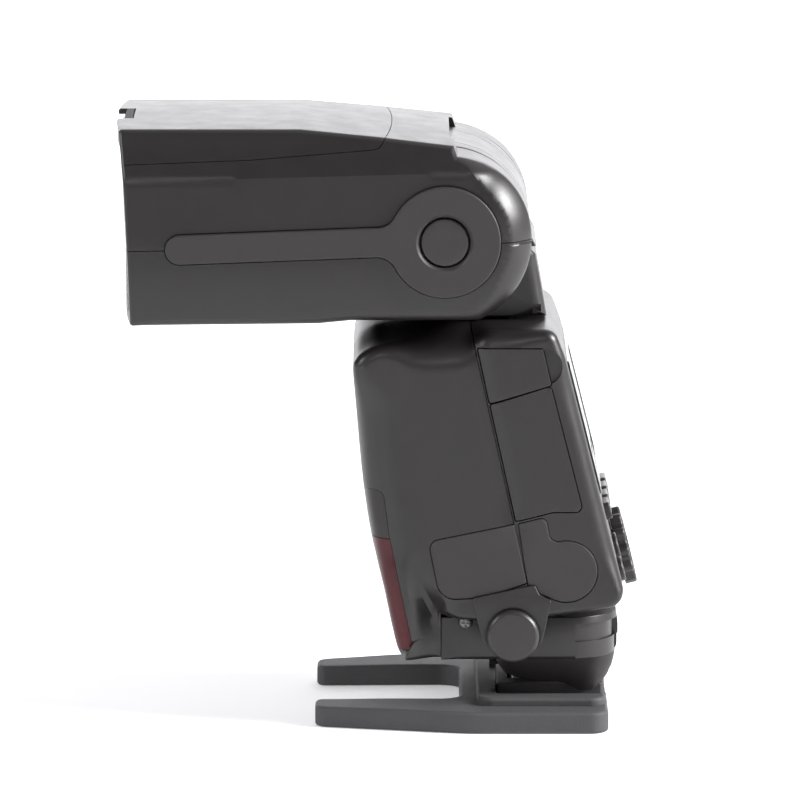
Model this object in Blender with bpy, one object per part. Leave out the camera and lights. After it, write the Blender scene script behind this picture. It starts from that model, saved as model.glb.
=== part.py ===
"""Full-size hot-shoe flash, head level, standing by its foot on a fork-shaped table stand.

Metres, +Z up. The light leaves the head along -X, the display faces +X, and -Y is the side
with the battery door and the socket covers. The origin is under the middle of the object, on
the surface that it stands on. Outlines are written in millimetres and scaled by MM.
"""

import math

import bmesh
import bpy
from mathutils import Matrix, Vector

MM = 0.001
GAP = 0.3  # clearance between neighbouring pieces
ARC_STEP = math.radians(24)  # the coarsest turn between two points of a rounded corner

# Driving dimensions, in millimetres.
OVERALL_DEPTH = 125.5
STAND_HALF_WIDTH = 40.0
STAND_THICKNESS = 5.2
SHOE_FLOOR = 3.1
FOOT_WIDTH, FOOT_LENGTH, FOOT_THICKNESS = 18.6, 18.0, 2.0
FOOT_FRONT = 32.0
LOCK_AXIS = (42.0, 0.0)
LEVER_REACH, LEVER_TURN = 15.0, 40.0  # length of the lock lever, and its travel in degrees
BODY_HALF_WIDTH = 36.0
WALL = 2.2
SHOULDER = 29.0  # underside of the main body, above the pedestal
CHIN_REAR = 15.3  # rear face of the chin, where the pedestal starts
BODY_TOP = 97.2
SWIVEL_X = 20.4
SPINDLE_RADIUS = 11.7
PIVOT = (16.24, 118.7)
CHEEK_RADIUS = 20.7
DRUM_RADIUS = 20.5
DRUM_HALF_WIDTH = 19.0
HEAD_HALF_WIDTH = 38.6
HEAD_TOP = 145.3
HEAD_FLOOR = 98.3
TRIM_FACE = 39.85
AXLE_RADIUS = 3.0
CELL_RADIUS, CELL_LENGTH = 7.15, 50.5
SEAM_TOP, SEAM_BOTTOM = (22.4, 97.3), (36.2, 35.1)
REAR_TOP, REAR_BOTTOM = (45.1, 90.1), (59.9, 31.2)
DIAL_HEIGHT, DIAL_RADIUS, DIAL_RISE = 38.6, 9.6, 2.45


# ---------------------------------------------------------------- materials


def plastic(name, colour, roughness, metallic=0.0):
    material = bpy.data.materials.new(name)
    material.use_nodes = True
    shader = material.node_tree.nodes["Principled BSDF"]
    shader.inputs["Base Color"].default_value = (*colour, 1.0)
    shader.inputs["Roughness"].default_value = roughness
    shader.inputs["Metallic"].default_value = metallic
    material.diffuse_color = (*colour, 1.0)
    return material


def make_materials():
    return {
        "shell": plastic("shell_plastic", (0.045, 0.040, 0.042), 0.55),
        "cover": plastic("cover_rubber", (0.050, 0.045, 0.046), 0.70),
        "stand": plastic("stand_plastic", (0.028, 0.027, 0.028), 0.40),
        "button": plastic("button_plastic", (0.060, 0.055, 0.057), 0.50),
        "trim": plastic("trim_plastic", (0.042, 0.038, 0.038), 0.65),
        "red": plastic("red_window", (0.090, 0.008, 0.010), 0.12),
        "dark": plastic("sensor_window", (0.010, 0.008, 0.010), 0.08),
        "lens": plastic("lens_acrylic", (0.75, 0.78, 0.80), 0.10),
        "display": plastic("display_glass", (0.16, 0.20, 0.16), 0.10),
        "steel": plastic("steel", (0.55, 0.55, 0.56), 0.30, 1.0),
        "brass": plastic("brass", (0.70, 0.52, 0.22), 0.35, 1.0),
        "mirror": plastic("reflector_metal", (0.85, 0.85, 0.86), 0.12, 1.0),
        "glass": plastic("tube_glass", (0.80, 0.82, 0.85), 0.05),
        "board": plastic("circuit_board", (0.03, 0.16, 0.07), 0.45),
        "inner": plastic("inner_plastic", (0.08, 0.08, 0.08), 0.60),
        "sleeve": plastic("cell_sleeve", (0.20, 0.20, 0.22), 0.35),
    }


# ---------------------------------------------------------------- outlines


def rounded(corners):
    """Points of a closed outline whose corners (a, b, radius) are turned into arcs."""
    points = []
    for index, (a, b, radius) in enumerate(corners):
        here = Vector((a, b))
        if not radius:
            points.append((a, b))
            continue
        before = (Vector(corners[index - 1][:2]) - here).normalized()
        after = (Vector(corners[(index + 1) % len(corners)][:2]) - here).normalized()
        half = before.angle(after) / 2
        reach = radius / math.tan(half)
        centre = here + (before + after).normalized() * (radius / math.sin(half))
        start = here + before * reach - centre
        sweep = start.angle_signed(here + after * reach - centre)
        steps = max(1, math.ceil(abs(sweep) / ARC_STEP))
        for step in range(steps + 1):
            turn = Matrix.Rotation(-sweep * step / steps, 2)
            points.append(tuple(centre + turn @ start))
    return points


def arc(centre, radius, start, end, steps):
    """Points on an arc, between two angles in degrees measured from the first axis."""
    angles = (math.radians(start + (end - start) * k / steps) for k in range(steps + 1))
    return [(centre[0] + radius * math.cos(t), centre[1] + radius * math.sin(t)) for t in angles]


def circle(centre, radius, sides):
    return arc(centre, radius, 0, 360, sides)[:-1]


def rectangle(low_a, high_a, low_b, high_b, radius=0.0):
    return rounded(
        [(low_a, low_b, radius), (high_a, low_b, radius), (high_a, high_b, radius), (low_a, high_b, radius)]
    )


# ---------------------------------------------------------------- solids


def solid(name, mesh_tool, material=None):
    """A scene object from a bmesh in millimetres. Without a material it is a cutter."""
    bmesh.ops.recalc_face_normals(mesh_tool, faces=mesh_tool.faces)
    bmesh.ops.scale(mesh_tool, vec=(MM, MM, MM), verts=mesh_tool.verts)
    mesh = bpy.data.meshes.new(name)
    mesh_tool.to_mesh(mesh)
    mesh_tool.free()
    mesh.shade_smooth()
    mesh.set_sharp_from_angle(angle=math.radians(35))
    thing = bpy.data.objects.new(name, mesh)
    bpy.context.scene.collection.objects.link(thing)
    if material is None:
        thing.hide_render = True
        thing.display_type = "WIRE"
    else:
        mesh.materials.append(material)
    return thing


AXIS_ORDER = {"X": (2, 0, 1), "Y": (0, 2, 1), "Z": (0, 1, 2)}


def loft(name, rings, material=None):
    """A closed skin through rings of the same number of 3-D points, with flat ends."""
    mesh_tool = bmesh.new()
    layers = [[mesh_tool.verts.new(point) for point in ring] for ring in rings]
    count = len(layers[0])
    for lower, upper in zip(layers, layers[1:]):
        for k in range(count):
            after = (k + 1) % count
            mesh_tool.faces.new((lower[k], lower[after], upper[after], upper[k]))
    mesh_tool.faces.new(list(reversed(layers[0])))
    mesh_tool.faces.new(layers[-1])
    return solid(name, mesh_tool, material)


def prism(name, outline, axis, low, high, material=None):
    """An outline in the plane across an axis, extruded between two places on that axis."""
    order = AXIS_ORDER[axis]
    rings = []
    for level in (low, high):
        places = ((a, b, level) for a, b in outline)
        rings.append([tuple(place[k] for k in order) for place in places])
    return loft(name, rings, material)


def block(name, x, y, z, material=None):
    return prism(name, rectangle(*x, *y), "Z", *z, material)


def rod(name, axis, centre, radius, low, high, material=None, sides=24):
    return prism(name, circle(centre, radius, sides), axis, low, high, material)


def combine(target, operation, *tools):
    for tool in tools:
        modifier = target.modifiers.new(tool.name, "BOOLEAN")
        modifier.operation = operation
        modifier.object = tool
        modifier.solver = "EXACT"
    return target


def cut(target, *tools):
    return combine(target, "DIFFERENCE", *tools)


def keep(target, *tools):
    return combine(target, "INTERSECT", *tools)


def copy_of(source, name, material=None):
    """A new object with the same mesh and the same Booleans as another."""
    thing = bpy.data.objects.new(name, source.data.copy())
    bpy.context.scene.collection.objects.link(thing)
    thing.matrix_world = source.matrix_world
    for old in source.modifiers:
        modifier = thing.modifiers.new(old.name, "BOOLEAN")
        modifier.operation = old.operation
        modifier.object = old.object
        modifier.solver = "EXACT"
    if material is None:
        thing.hide_render = True
        thing.display_type = "WIRE"
    else:
        thing.data.materials.append(material)
    return thing


def hang(things, name, point, axes=None):
    """Parents pieces to an empty at their joint, leaving them where they are."""
    empty = bpy.data.objects.new(name, None)
    empty.matrix_world = Matrix.Translation(Vector(point) * MM) @ (axes or Matrix()).to_4x4()
    empty.empty_display_size = 0.01
    bpy.context.scene.collection.objects.link(empty)
    for thing in things:
        placed = thing.matrix_world.copy()
        thing.parent = empty
        thing.matrix_parent_inverse = empty.matrix_world.inverted()
        thing.matrix_world = placed
    return empty


# ---------------------------------------------------------------- places


def on_line(line, height):
    """X on a line through two (x, z) points, at a height."""
    (x0, z0), (x1, z1) = line
    return x0 + (x1 - x0) * (height - z0) / (z1 - z0)


def lean_of(line):
    (x0, z0), (x1, z1) = line
    return math.atan2(x1 - x0, z0 - z1)


SEAM = (SEAM_TOP, SEAM_BOTTOM)
REAR = (REAR_TOP, REAR_BOTTOM)
REAR_FRAME = Matrix.Translation(
    Vector((on_line(REAR, DIAL_HEIGHT), 0, DIAL_HEIGHT)) * MM
) @ Matrix.Rotation(-lean_of(REAR), 4, "Y")


def on_rear(thing):
    """Places a piece made in the rear panel's own axes: X out of the panel, Z up its slope."""
    thing.matrix_world = REAR_FRAME
    return thing


def up_slope(height):
    """Distance up the rear panel from the dial's centre to a height in the object's axes."""
    return (height - DIAL_HEIGHT) / math.cos(lean_of(REAR))


# ---------------------------------------------------------------- stand


def stand_outline():
    tip, slot, root = 31.0, 21.5, 22.0
    half = [
        (20.0, slot, 5.0),
        (-14.9, slot, 2.0),
        (-14.9, tip, 5.0),
        (root, STAND_HALF_WIDTH, 12.0),
        (55.6, STAND_HALF_WIDTH, 4.0),
    ]
    other = [(x, -y, r) for x, y, r in reversed(half)]
    return rounded(half + other)


def make_stand(mats):
    base = prism("stand_base", stand_outline(), "Z", 0, STAND_THICKNESS, mats["stand"])
    plateau = prism("stand_plateau_add", rectangle(24.0, 55.2, -32.0, 32.0, 4.0), "Z", 1.0, 7.2)
    combine(base, "UNION", plateau)
    apron = block("stand_apron_cut", (27.5, 60), (-26.0, 26.0), (4.2, 12))
    cut(base, apron)
    rails = block("stand_rails_add", (29.0, 55.0), (-12.5, 12.5), (3.4, 7.2))
    combine(base, "UNION", rails)
    channel_half = FOOT_WIDTH / 2 + GAP
    channel = block("shoe_channel_cut", (FOOT_FRONT - 0.4, 60), (-channel_half, channel_half), (SHOE_FLOOR, 5.7))
    mouth = block("shoe_mouth_cut", (FOOT_FRONT - 0.4, 60), (-6.4, 6.4), (SHOE_FLOOR, 12))
    thread_hole = rod("thread_cut", "Z", LOCK_AXIS, 5.0, -1, 5)
    pin_hole = rod("lock_pin_cut", "Z", (FOOT_FRONT + 2.5, 0), 1.5, 1.8, 5, sides=12)
    cut(base, channel, mouth, thread_hole, pin_hole)
    insert = rod("stand_insert", "Z", LOCK_AXIS, 4.7, 0.3, SHOE_FLOOR - 0.2, mats["brass"])
    cut(insert, rod("insert_thread_cut", "Z", LOCK_AXIS, 3.1, -1, 5))


# ---------------------------------------------------------------- foot and lock


def make_foot(mats):
    low = SHOE_FLOOR + GAP
    high = low + FOOT_THICKNESS
    rear = FOOT_FRONT + FOOT_LENGTH
    half = FOOT_WIDTH / 2
    foot = block("foot", (FOOT_FRONT, rear), (-half, half), (low, high), mats["steel"])
    stem = block("foot_stem_add", (FOOT_FRONT + 0.6, rear - 0.4), (-6.0, 6.0), (low + 0.5, 9.0))
    flange = prism("foot_flange_add", rectangle(33.5, 51.0, -11.0, 11.0, 3.0), "Z", 8.4, 11.0)
    post = rod("foot_post_add", "Z", LOCK_AXIS, 6.8, 10.0, 19.9)
    combine(foot, "UNION", stem, flange, post)
    pin_place = (FOOT_FRONT + 2.5, 0)
    cut(foot, rod("foot_pin_cut", "Z", pin_place, 1.3, 0, 15, sides=12))
    pin = rod("lock_pin", "Z", pin_place, 1.0, low + 0.1, 9.5, mats["steel"], sides=12)
    hang([pin], "lock_pin_joint", (*pin_place, low))


def make_lock_lever(mats):
    low, high = 16.6, 19.7
    lever = rod("lock_lever", "Z", LOCK_AXIS, 12.5, low, high, mats["button"])
    aim = math.radians(-LEVER_TURN / 2)
    reach = Vector((math.cos(aim), math.sin(aim)))
    side = Vector((-reach.y, reach.x))
    ends = ((9.0, -3.5), (LEVER_REACH, -5.0), (LEVER_REACH, 5.0), (9.0, 3.5))
    arm = [tuple(Vector(LOCK_AXIS) + reach * a + side * b) for a, b in ends]
    combine(lever, "UNION", prism("lever_arm_add", arm, "Z", low, high))
    cut(lever, rod("lever_bore_cut", "Z", LOCK_AXIS, 7.2, 10, 25))
    hang([lever], "lock_lever_joint", (*LOCK_AXIS, low))


def make_pedestal(mats):
    plan = rounded(
        [(CHIN_REAR + GAP, -30, 2.0), (57.7, -30, 13.0), (57.7, 30, 13.0), (CHIN_REAR + GAP, 30, 2.0)]
    )
    pedestal = prism("pedestal", plan, "Z", 16.2, SHOULDER - GAP, mats["shell"])
    fan = [LOCK_AXIS, (64.0, -22.0), (64.0, 22.0)]
    cut(
        pedestal,
        rod("lever_ring_cut", "Z", LOCK_AXIS, 13.0, 10, 20.2),
        prism("lever_fan_cut", fan, "Z", 10, 20.2),
    )
    return pedestal


def ring_at(centre_x, half_x, half_y, height, radius):
    outline = rectangle(centre_x - half_x, centre_x + half_x, -half_y, half_y, radius)
    return [(x, y, height) for x, y in outline]


def make_skirt(mats):
    outer = loft(
        "weather_skirt",
        [ring_at(42.5, 11.0, 14.6, 7.8, 5), ring_at(43.0, 13.8, 18.5, 12.5, 6), ring_at(43.0, 14.7, 20.0, 15.9, 6)],
        mats["cover"],
    )
    inner = loft(
        "skirt_hollow_cut",
        [ring_at(42.5, 10.4, 13.2, 7.0, 4), ring_at(43.0, 12.4, 17.1, 12.5, 5), ring_at(43.0, 13.2, 18.5, 17.0, 5)],
    )
    return cut(outer, inner)


# ---------------------------------------------------------------- main body


BODY_LEVELS = (
    # height, front x, half width
    (16.8, 8.0, 34.6),
    (18.6, 6.1, 36.0),
    (34.4, 2.7, 36.0),
    (46.5, -0.2, 36.0),
    (59.9, -2.2, 36.0),
    (87.7, -4.7, 36.0),
    (92.6, -4.2, 35.8),
    (95.6, -2.0, 34.4),
    (BODY_TOP, 1.5, 32.0),
)


def body_ring(height, front, half, inset):
    """A level section of the body: wide front corners, tighter rear corners."""
    rear = on_line(REAR, height)
    if height > 91:
        rear -= (height - 91) * 0.28
    front_radius, rear_radius = 9.0 - inset, 4.5 - inset * 0.8
    half -= inset
    outline = rounded(
        [
            (front + inset, -half, front_radius),
            (rear - inset, -half, rear_radius),
            (rear - inset, half, rear_radius),
            (front + inset, half, front_radius),
        ]
    )
    return [(x, y, height) for x, y in outline]


def body_form(name, inset=0.0):
    """The whole outer form of the body, or the hollow inside it."""
    rings = [body_ring(z, front, half, inset) for z, front, half in BODY_LEVELS]
    if inset:
        rings[0] = [(x, y, z + inset) for x, y, z in rings[0]]
        rings[1] = [(x, y, z + inset) for x, y, z in rings[1]]
        rings = rings[:-2]
        rings.append([(x, y, BODY_TOP - inset) for x, y, _ in rings[-1]])
    form = loft(name, rings)
    floor = SHOULDER + inset
    undercut = block(f"{name}_undercut", (CHIN_REAR - inset, 70), (-50, 50), (0, floor))
    return cut(form, undercut)


def seam_side(name, ahead):
    """A large block whose one face is the seam plane, ahead of it or behind it."""
    edge = 0.0 if ahead else GAP
    near, far = ((-80, 0) if ahead else (edge, 80))
    side = block(name, (near, far), (-60, 60), (-90, 60))
    middle = Vector((SEAM_TOP[0], 0, SEAM_TOP[1])) * MM
    side.matrix_world = Matrix.Translation(middle) @ Matrix.Rotation(-lean_of(SEAM), 4, "Y")
    return side


def behind_seam(height):
    """X just behind the seam plane, where a piece that touches the seam starts."""
    return on_line(SEAM, height) + GAP + 0.1


def grown(corners, amount):
    """An outline moved outwards by an amount, corner by corner; corners are (a, b, radius)."""
    moved = []
    points = [Vector(c[:2]) for c in corners]
    area = sum(p.x * q.y - q.x * p.y for p, q in zip(points, points[1:] + points[:1]))
    turn = 1 if area > 0 else -1
    for index, point in enumerate(points):
        before = (point - points[index - 1]).normalized()
        after = (points[(index + 1) % len(points)] - point).normalized()
        out_before = Vector((before.y, -before.x)) * turn
        out_after = Vector((after.y, -after.x)) * turn
        bisector = (out_before + out_after).normalized()
        reach = amount / max(0.3, bisector.dot(out_before))
        radius = corners[index][2]
        moved.append((*(point + bisector * reach), radius and max(0.1, radius + amount)))
    return moved


WINDOW_TOP, WINDOW_SPLIT = 58.2, 46.6
WINDOW_OUTLINE = ((-12.0, 19.4, 0), (8.6, 19.4, 1.5), (3.0, WINDOW_SPLIT - GAP, 0), (-12.0, WINDOW_SPLIT - GAP, 0))
SENSOR_OUTLINE = ((-12.0, WINDOW_SPLIT, 0), (2.9, WINDOW_SPLIT, 0), (1.4, WINDOW_TOP, 2.0), (-12.0, WINDOW_TOP, 0))
BOTH_WINDOWS = ((-12.0, 19.4, 0), (8.6, 19.4, 1.5), (1.4, WINDOW_TOP, 2.0), (-12.0, WINDOW_TOP, 0))

DOOR_OUTLINE = (
    (behind_seam(79.0), 79.0, 0),
    (41.6, 83.7, 1.0),
    (49.4, 53.2, 1.5),
    (42.2, 53.2, 0),
    (behind_seam(50.8), 50.8, 0),
)
LATCH_OUTLINE = (
    (behind_seam(92.8), 92.8, 0.8),
    (39.4, 92.8, 0.8),
    (41.4, 84.4, 0.8),
    (behind_seam(79.9), 79.9, 0),
)
LATCH_ROOM = ((20.0, 93.8, 0), (42.2, 93.8, 0.8), (43.8, 84.8, 0.8), (20.0, 77.0, 0))
POWER_COVER_OUTLINE = (
    (13.7, 45.6, 2.6),
    (32.9, 49.5, 0),
    (35.9, 36.1, 0),
    (22.0, 33.2, 0),
    (16.3, 33.2, 2.6),
)
BULB_CENTRE, BULB_RADIUS = (45.1, 38.8), 7.6
SYNC_TAIL_OUTLINE = ((33.8, 50.2, 0), (40.6, 51.8, 2.0), (45.0, 38.8, 0), (37.2, 35.4, 0))
POWER_SOCKET_PLACE, POWER_SOCKET_RADIUS = (24.6, 41.0), 6.0
SYNC_SOCKET_RADIUS = 3.6
TAB_OUTLINE = ((22.6, 32.3, 1.0), (36.7, 35.0, 1.0), (41.0, 31.2, 1.2), (39.1, 19.8, 2.0), (25.9, 21.6, 2.0))
PLUG_PLACE, PLUG_RADIUS = (32.6, 23.6), 6.2


def side_cut(name, corners, depth, allowance=GAP):
    """A pocket in the -Y side, as deep as a given Y."""
    return prism(name, rounded(grown(corners, allowance)), "Y", -50, depth)


def sync_form(name, allowance, low, high, material=None):
    """The bulb-shaped cover: a round end with a tail up to the seam."""
    tail = prism(name, rounded(grown(SYNC_TAIL_OUTLINE, allowance)), "Y", low, high, material)
    bulb = rod(f"{name}_bulb", "Y", BULB_CENTRE, BULB_RADIUS + allowance, low, high, sides=20)
    return combine(tail, "UNION", bulb)


def make_body_shells(mats):
    outer = body_form("body_form")
    hollow = body_form("body_hollow", WALL)
    windows = prism("window_cut", rounded(grown(BOTH_WINDOWS, GAP)), "Y", -50, 50)
    spindle_hole = rod("spindle_cut", "Z", (SWIVEL_X, 0), SPINDLE_RADIUS + GAP, 80, 110, sides=32)
    cover_floor = -34.7
    power_room = side_cut("power_cover_room", POWER_COVER_OUTLINE, cover_floor)
    power_hole = rod("power_hole", "Y", POWER_SOCKET_PLACE, POWER_SOCKET_RADIUS + GAP, -50, -30)
    sync_room = sync_form("sync_cover_room", GAP, -50, cover_floor)
    sync_hole = rod("sync_hole", "Y", BULB_CENTRE, SYNC_SOCKET_RADIUS + GAP, -50, -30, sides=16)

    front = copy_of(outer, "front_shell", mats["shell"])
    keep(front, seam_side("ahead_of_seam", True))
    cut(front, hollow, windows, spindle_hole, power_room, power_hole)

    rear = copy_of(outer, "rear_shell", mats["shell"])
    keep(rear, seam_side("behind_seam", False))
    cut(rear, hollow, spindle_hole)
    cut(rear, side_cut("door_room", DOOR_OUTLINE, -30))
    cut(rear, side_cut("latch_room", LATCH_ROOM, -30, 0.0))
    cut(rear, rod("finger_notch", "Y", (41.0, 88.3), 4.6, -50, -34.9, sides=20))
    cut(rear, sync_room, sync_hole)
    return outer, hollow, rear


def make_windows(mats, outer, hollow):
    for name, corners, finish in (
        ("red_window", WINDOW_OUTLINE, "red"),
        ("sensor_window", SENSOR_OUTLINE, "dark"),
    ):
        pane = copy_of(outer, name, mats[finish])
        keep(pane, prism(f"{name}_region", rounded(corners), "Y", -45, 45))
        cut(pane, hollow)


def make_side_covers(mats):
    face = -BODY_HALF_WIDTH
    door = prism("battery_door", rounded(DOOR_OUTLINE), "Y", face, face + 2.0, mats["shell"])
    hang([door], "battery_door_joint", (49.9, face - 0.3, 53.2))
    latch = prism("door_latch", rounded(LATCH_OUTLINE), "Y", face, face + 2.0, mats["shell"])
    hang([latch], "door_latch_joint", (26.8, face, 79.9))
    power = prism("power_cover", rounded(POWER_COVER_OUTLINE), "Y", face - 0.2, face + 1.0, mats["cover"])
    hang([power], "power_cover_joint", (13.7, face - 0.3, 45.6))
    sync = sync_form("sync_cover", 0.0, face - 0.2, face + 1.0, mats["cover"])
    hang([sync], "sync_cover_joint", (33.8, face - 0.3, 50.2))


def make_sockets(mats):
    rod("power_socket", "Y", POWER_SOCKET_PLACE, POWER_SOCKET_RADIUS, -34.6, -27.0, mats["inner"])
    socket = rod("sync_socket", "Y", BULB_CENTRE, SYNC_SOCKET_RADIUS, -34.6, -27.0, mats["steel"], sides=16)
    cut(socket, rod("sync_bore", "Y", BULB_CENTRE, 1.6, -36, -29, sides=12))


def make_bracket_mount(mats):
    plate = prism("bracket_mount", rounded(TAB_OUTLINE), "Y", -37.0, -36.3, mats["cover"])
    root = block("bracket_root_add", (26.4, 38.9), (-36.8, -30.3), (20.4, SHOULDER - GAP - 0.3))
    combine(plate, "UNION", root)
    cut(plate, rod("bracket_bush_cut", "Y", PLUG_PLACE, 3.9, -50, -20, sides=20))
    bush = rod("bracket_bush", "Y", PLUG_PLACE, 3.6, -36.6, -30.4, mats["brass"], sides=20)
    cut(bush, rod("bush_bore", "Y", PLUG_PLACE, 2.5, -50, -20, sides=16))
    plug = rod("bracket_plug", "Y", PLUG_PLACE, PLUG_RADIUS, -39.9, -37.3, mats["button"])
    combine(plug, "UNION", rod("plug_stem_add", "Y", PLUG_PLACE, 2.2, -38.0, -31.5, sides=16))
    hang([plug], "bracket_plug_joint", (PLUG_PLACE[0], -39.9, PLUG_PLACE[1]))


# ---------------------------------------------------------------- inside the body


CELL_PLACES = ((36.0, 61.0), (21.0, 61.0), (32.7, 76.0), (17.7, 76.0))


def make_power_pack(mats):
    near, far = -32.4, -32.4 + CELL_LENGTH
    corners = ((11.8, 52.6, 2), (44.4, 52.6, 2), (40.6, 84.4, 2), (8.6, 84.4, 2))
    cage = prism("battery_cage", rounded(corners), "Y", near - 0.6, far + 2.2, mats["inner"])
    for index, place in enumerate(CELL_PLACES, start=1):
        cut(cage, rod(f"cell_bay_{index}", "Y", place, CELL_RADIUS + GAP - 0.05, -50, far + 0.4, sides=16))
        rod(f"battery_cell_{index}", "Y", place, CELL_RADIUS - 0.1, near, far, mats["sleeve"], sides=16)
    rod("main_capacitor", "Y", (26.0, 41.4), 9.5, -20, 31, mats["sleeve"], sides=20)
    board = block("main_board", (-6.4, -4.8), (-30, 30), (-3.0, 38.0), mats["board"])
    on_rear(board)


# ---------------------------------------------------------------- rear controls


PRESS = 0.7
DISPLAY_LOW, DISPLAY_HIGH = up_slope(60.0), up_slope(86.0)


def rear_button(name, outline, rise, mats):
    button = on_rear(prism(name, outline, "X", -1.5, rise, mats["button"]))
    middle_y = sum(y for y, _ in outline) / len(outline)
    middle_z = sum(z for _, z in outline) / len(outline)
    place = REAR_FRAME @ (Vector((rise, middle_y, middle_z)) * MM)
    hang([button], f"{name}_joint", place / MM, REAR_FRAME.to_3x3())


def rear_hole(name, outline, depth=-6.0):
    return on_rear(prism(name, outline, "X", depth, 6.0))


def make_rear_controls(mats, rear_shell):
    panel_outline = rectangle(-30, 30, up_slope(56.3), up_slope(88.5), 3.0)
    room_outline = rectangle(-30.3, 30.3, up_slope(56.3) - GAP, up_slope(88.5) + GAP, 3.3)
    panel = on_rear(prism("control_panel", panel_outline, "X", -0.7, 0.5, mats["dark"]))
    cut(rear_shell, rear_hole("panel_room", room_outline, -1.0))
    glass = rectangle(-22, 22, DISPLAY_LOW, DISPLAY_HIGH, 1.5)
    glass_room = rectangle(-22.3, 22.3, DISPLAY_LOW - GAP, DISPLAY_HIGH + GAP, 1.8)
    cut(panel, rear_hole("display_room", glass_room))
    on_rear(prism("display_glass", glass, "X", -0.7, 0.35, mats["display"]))

    row = up_slope(51.0)
    for index in range(4):
        middle = -18.0 + 12.0 * index
        outline = rectangle(middle - 4.5, middle + 4.5, row - 2.1, row + 2.1, 1.0)
        room = rectangle(middle - 4.8, middle + 4.8, row - 2.4, row + 2.4, 1.2)
        rear_button(f"function_button_{index + 1}", outline, 1.5, mats)
        cut(rear_shell, rear_hole(f"function_room_{index + 1}", room))
    for name, place, radius in (
        ("mode_button", (-16.5, up_slope(41.5)), 3.4),
        ("wireless_button", (16.5, up_slope(41.5)), 3.4),
        ("pilot_button", (-25.0, up_slope(37.5)), 3.0),
    ):
        rear_button(name, circle(place, radius, 16), 1.1, mats)
        cut(rear_shell, rear_hole(f"{name}_room", circle(place, radius + GAP, 16)))
    make_dial(mats, rear_shell)
    make_power_switch(mats, rear_shell)


def make_dial(mats, rear_shell):
    dial = on_rear(rod("select_dial", "X", (0, 0), DIAL_RADIUS, GAP, DIAL_RISE, mats["button"], sides=28))
    cut(dial, rear_hole("dial_bore", circle((0, 0), 4.7, 20)))
    hang([dial], "select_dial_joint", REAR_FRAME.translation / MM, REAR_FRAME.to_3x3())
    button = on_rear(rod("set_button", "X", (0, 0), 4.3, -0.3, DIAL_RISE - 0.3, mats["button"], sides=20))
    hang([button], "set_button_joint", REAR_FRAME.translation / MM, REAR_FRAME.to_3x3())
    cut(rear_shell, rear_hole("set_room", circle((0, 0), 4.7, 20), -1.4))


def make_power_switch(mats, rear_shell):
    height = up_slope(35.5)
    slider = rectangle(17.2, 21.8, height - 1.5, height + 1.5, 0.8)
    slot = rectangle(16.9, 27.6, height - 1.8, height + 1.8, 1.0)
    switch = on_rear(prism("power_switch", slider, "X", -1.2, 1.4, mats["button"]))
    cut(rear_shell, rear_hole("switch_slot", slot, -1.6))
    place = REAR_FRAME @ (Vector((1.4, 19.5, height)) * MM)
    hang([switch], "power_switch_joint", place / MM, REAR_FRAME.to_3x3())


# ---------------------------------------------------------------- neck


def make_neck(mats):
    low = BODY_TOP + 0.7
    half = DRUM_HALF_WIDTH
    core = DRUM_RADIUS - 1.7
    outline = (
        [(1.5, low), (40.9, low), (38.2, 113.0)]
        + arc(PIVOT, core, -8, 188, 16)
        + [(-1.6, 110.0)]
    )
    frame = prism("neck_frame", outline, "Y", -half, half, mats["shell"])
    skin = arc(PIVOT, DRUM_RADIUS, -3, 160, 16) + arc(PIVOT, core + GAP, 160, -3, 16)
    skin += [(PIVOT[0] + core + GAP, 115.0), (38.6, 115.0)]
    cover = prism("neck_cover", skin, "Y", -half, half, mats["trim"])
    cut(frame, prism("cover_seat_cut", [(34.0, 114.7), (45.0, 114.7), (45.0, 125.0), (34.9, 125.0)], "Y", -50, 50))
    axle = rod("tilt_axle", "Y", PIVOT, AXLE_RADIUS, -33.5, 33.5, mats["steel"], sides=20)
    cut(frame, rod("axle_bore", "Y", PIVOT, AXLE_RADIUS + GAP, -50, 50, sides=20))
    spindle = rod("swivel_spindle", "Z", (SWIVEL_X, 0), SPINDLE_RADIUS, 89.0, low - GAP, mats["inner"], sides=32)
    combine(spindle, "UNION", rod("spindle_flange_add", "Z", (SWIVEL_X, 0), 13.6, 87.2, 89.6, sides=32))
    hang([frame, cover, axle, spindle], "neck_joint", (SWIVEL_X, 0, low))
    bush = rod("swivel_bush", "Z", (SWIVEL_X, 0), 15.0, 90.0, BODY_TOP - WALL - GAP, mats["inner"], sides=32)
    cut(bush, rod("bush_hole", "Z", (SWIVEL_X, 0), SPINDLE_RADIUS + GAP, 80, 110, sides=32))


# ---------------------------------------------------------------- head


HEAD_SEAM = ((-62.0, 116.4), (38.0, 118.7))
INSERT_SEAM = ((-64.0, 136.7), (-30.0, 138.0), (0.8, 140.4), (2.3, 142.2), (2.7, 150.0))
TILT_RELIEF = 99.6  # raised underside near the neck, so that the head can dip


def head_side_outline():
    rear = arc(PIVOT, CHEEK_RADIUS, -67, 82, 14)
    return (
        [(-64.0, HEAD_FLOOR), (-14.0, 98.8), (-6.0, TILT_RELIEF)]
        + rear
        + [(18.0, 141.8), (0.8, 143.6), (-18.2, HEAD_TOP), (-64.0, HEAD_TOP)]
    )


def head_end_outline():
    half = [
        (0.0, HEAD_TOP, 0),
        (33.8, HEAD_TOP - 0.7, 1.5),
        (37.6, 134.2, 0),
        (HEAD_HALF_WIDTH, 118.0, 0),
        (HEAD_HALF_WIDTH, 102.0, 0),
        (37.4, 97.6, 0),
    ]
    other = [(-y, z, r) for y, z, r in reversed(half[1:])]
    return rounded(half + other)


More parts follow.
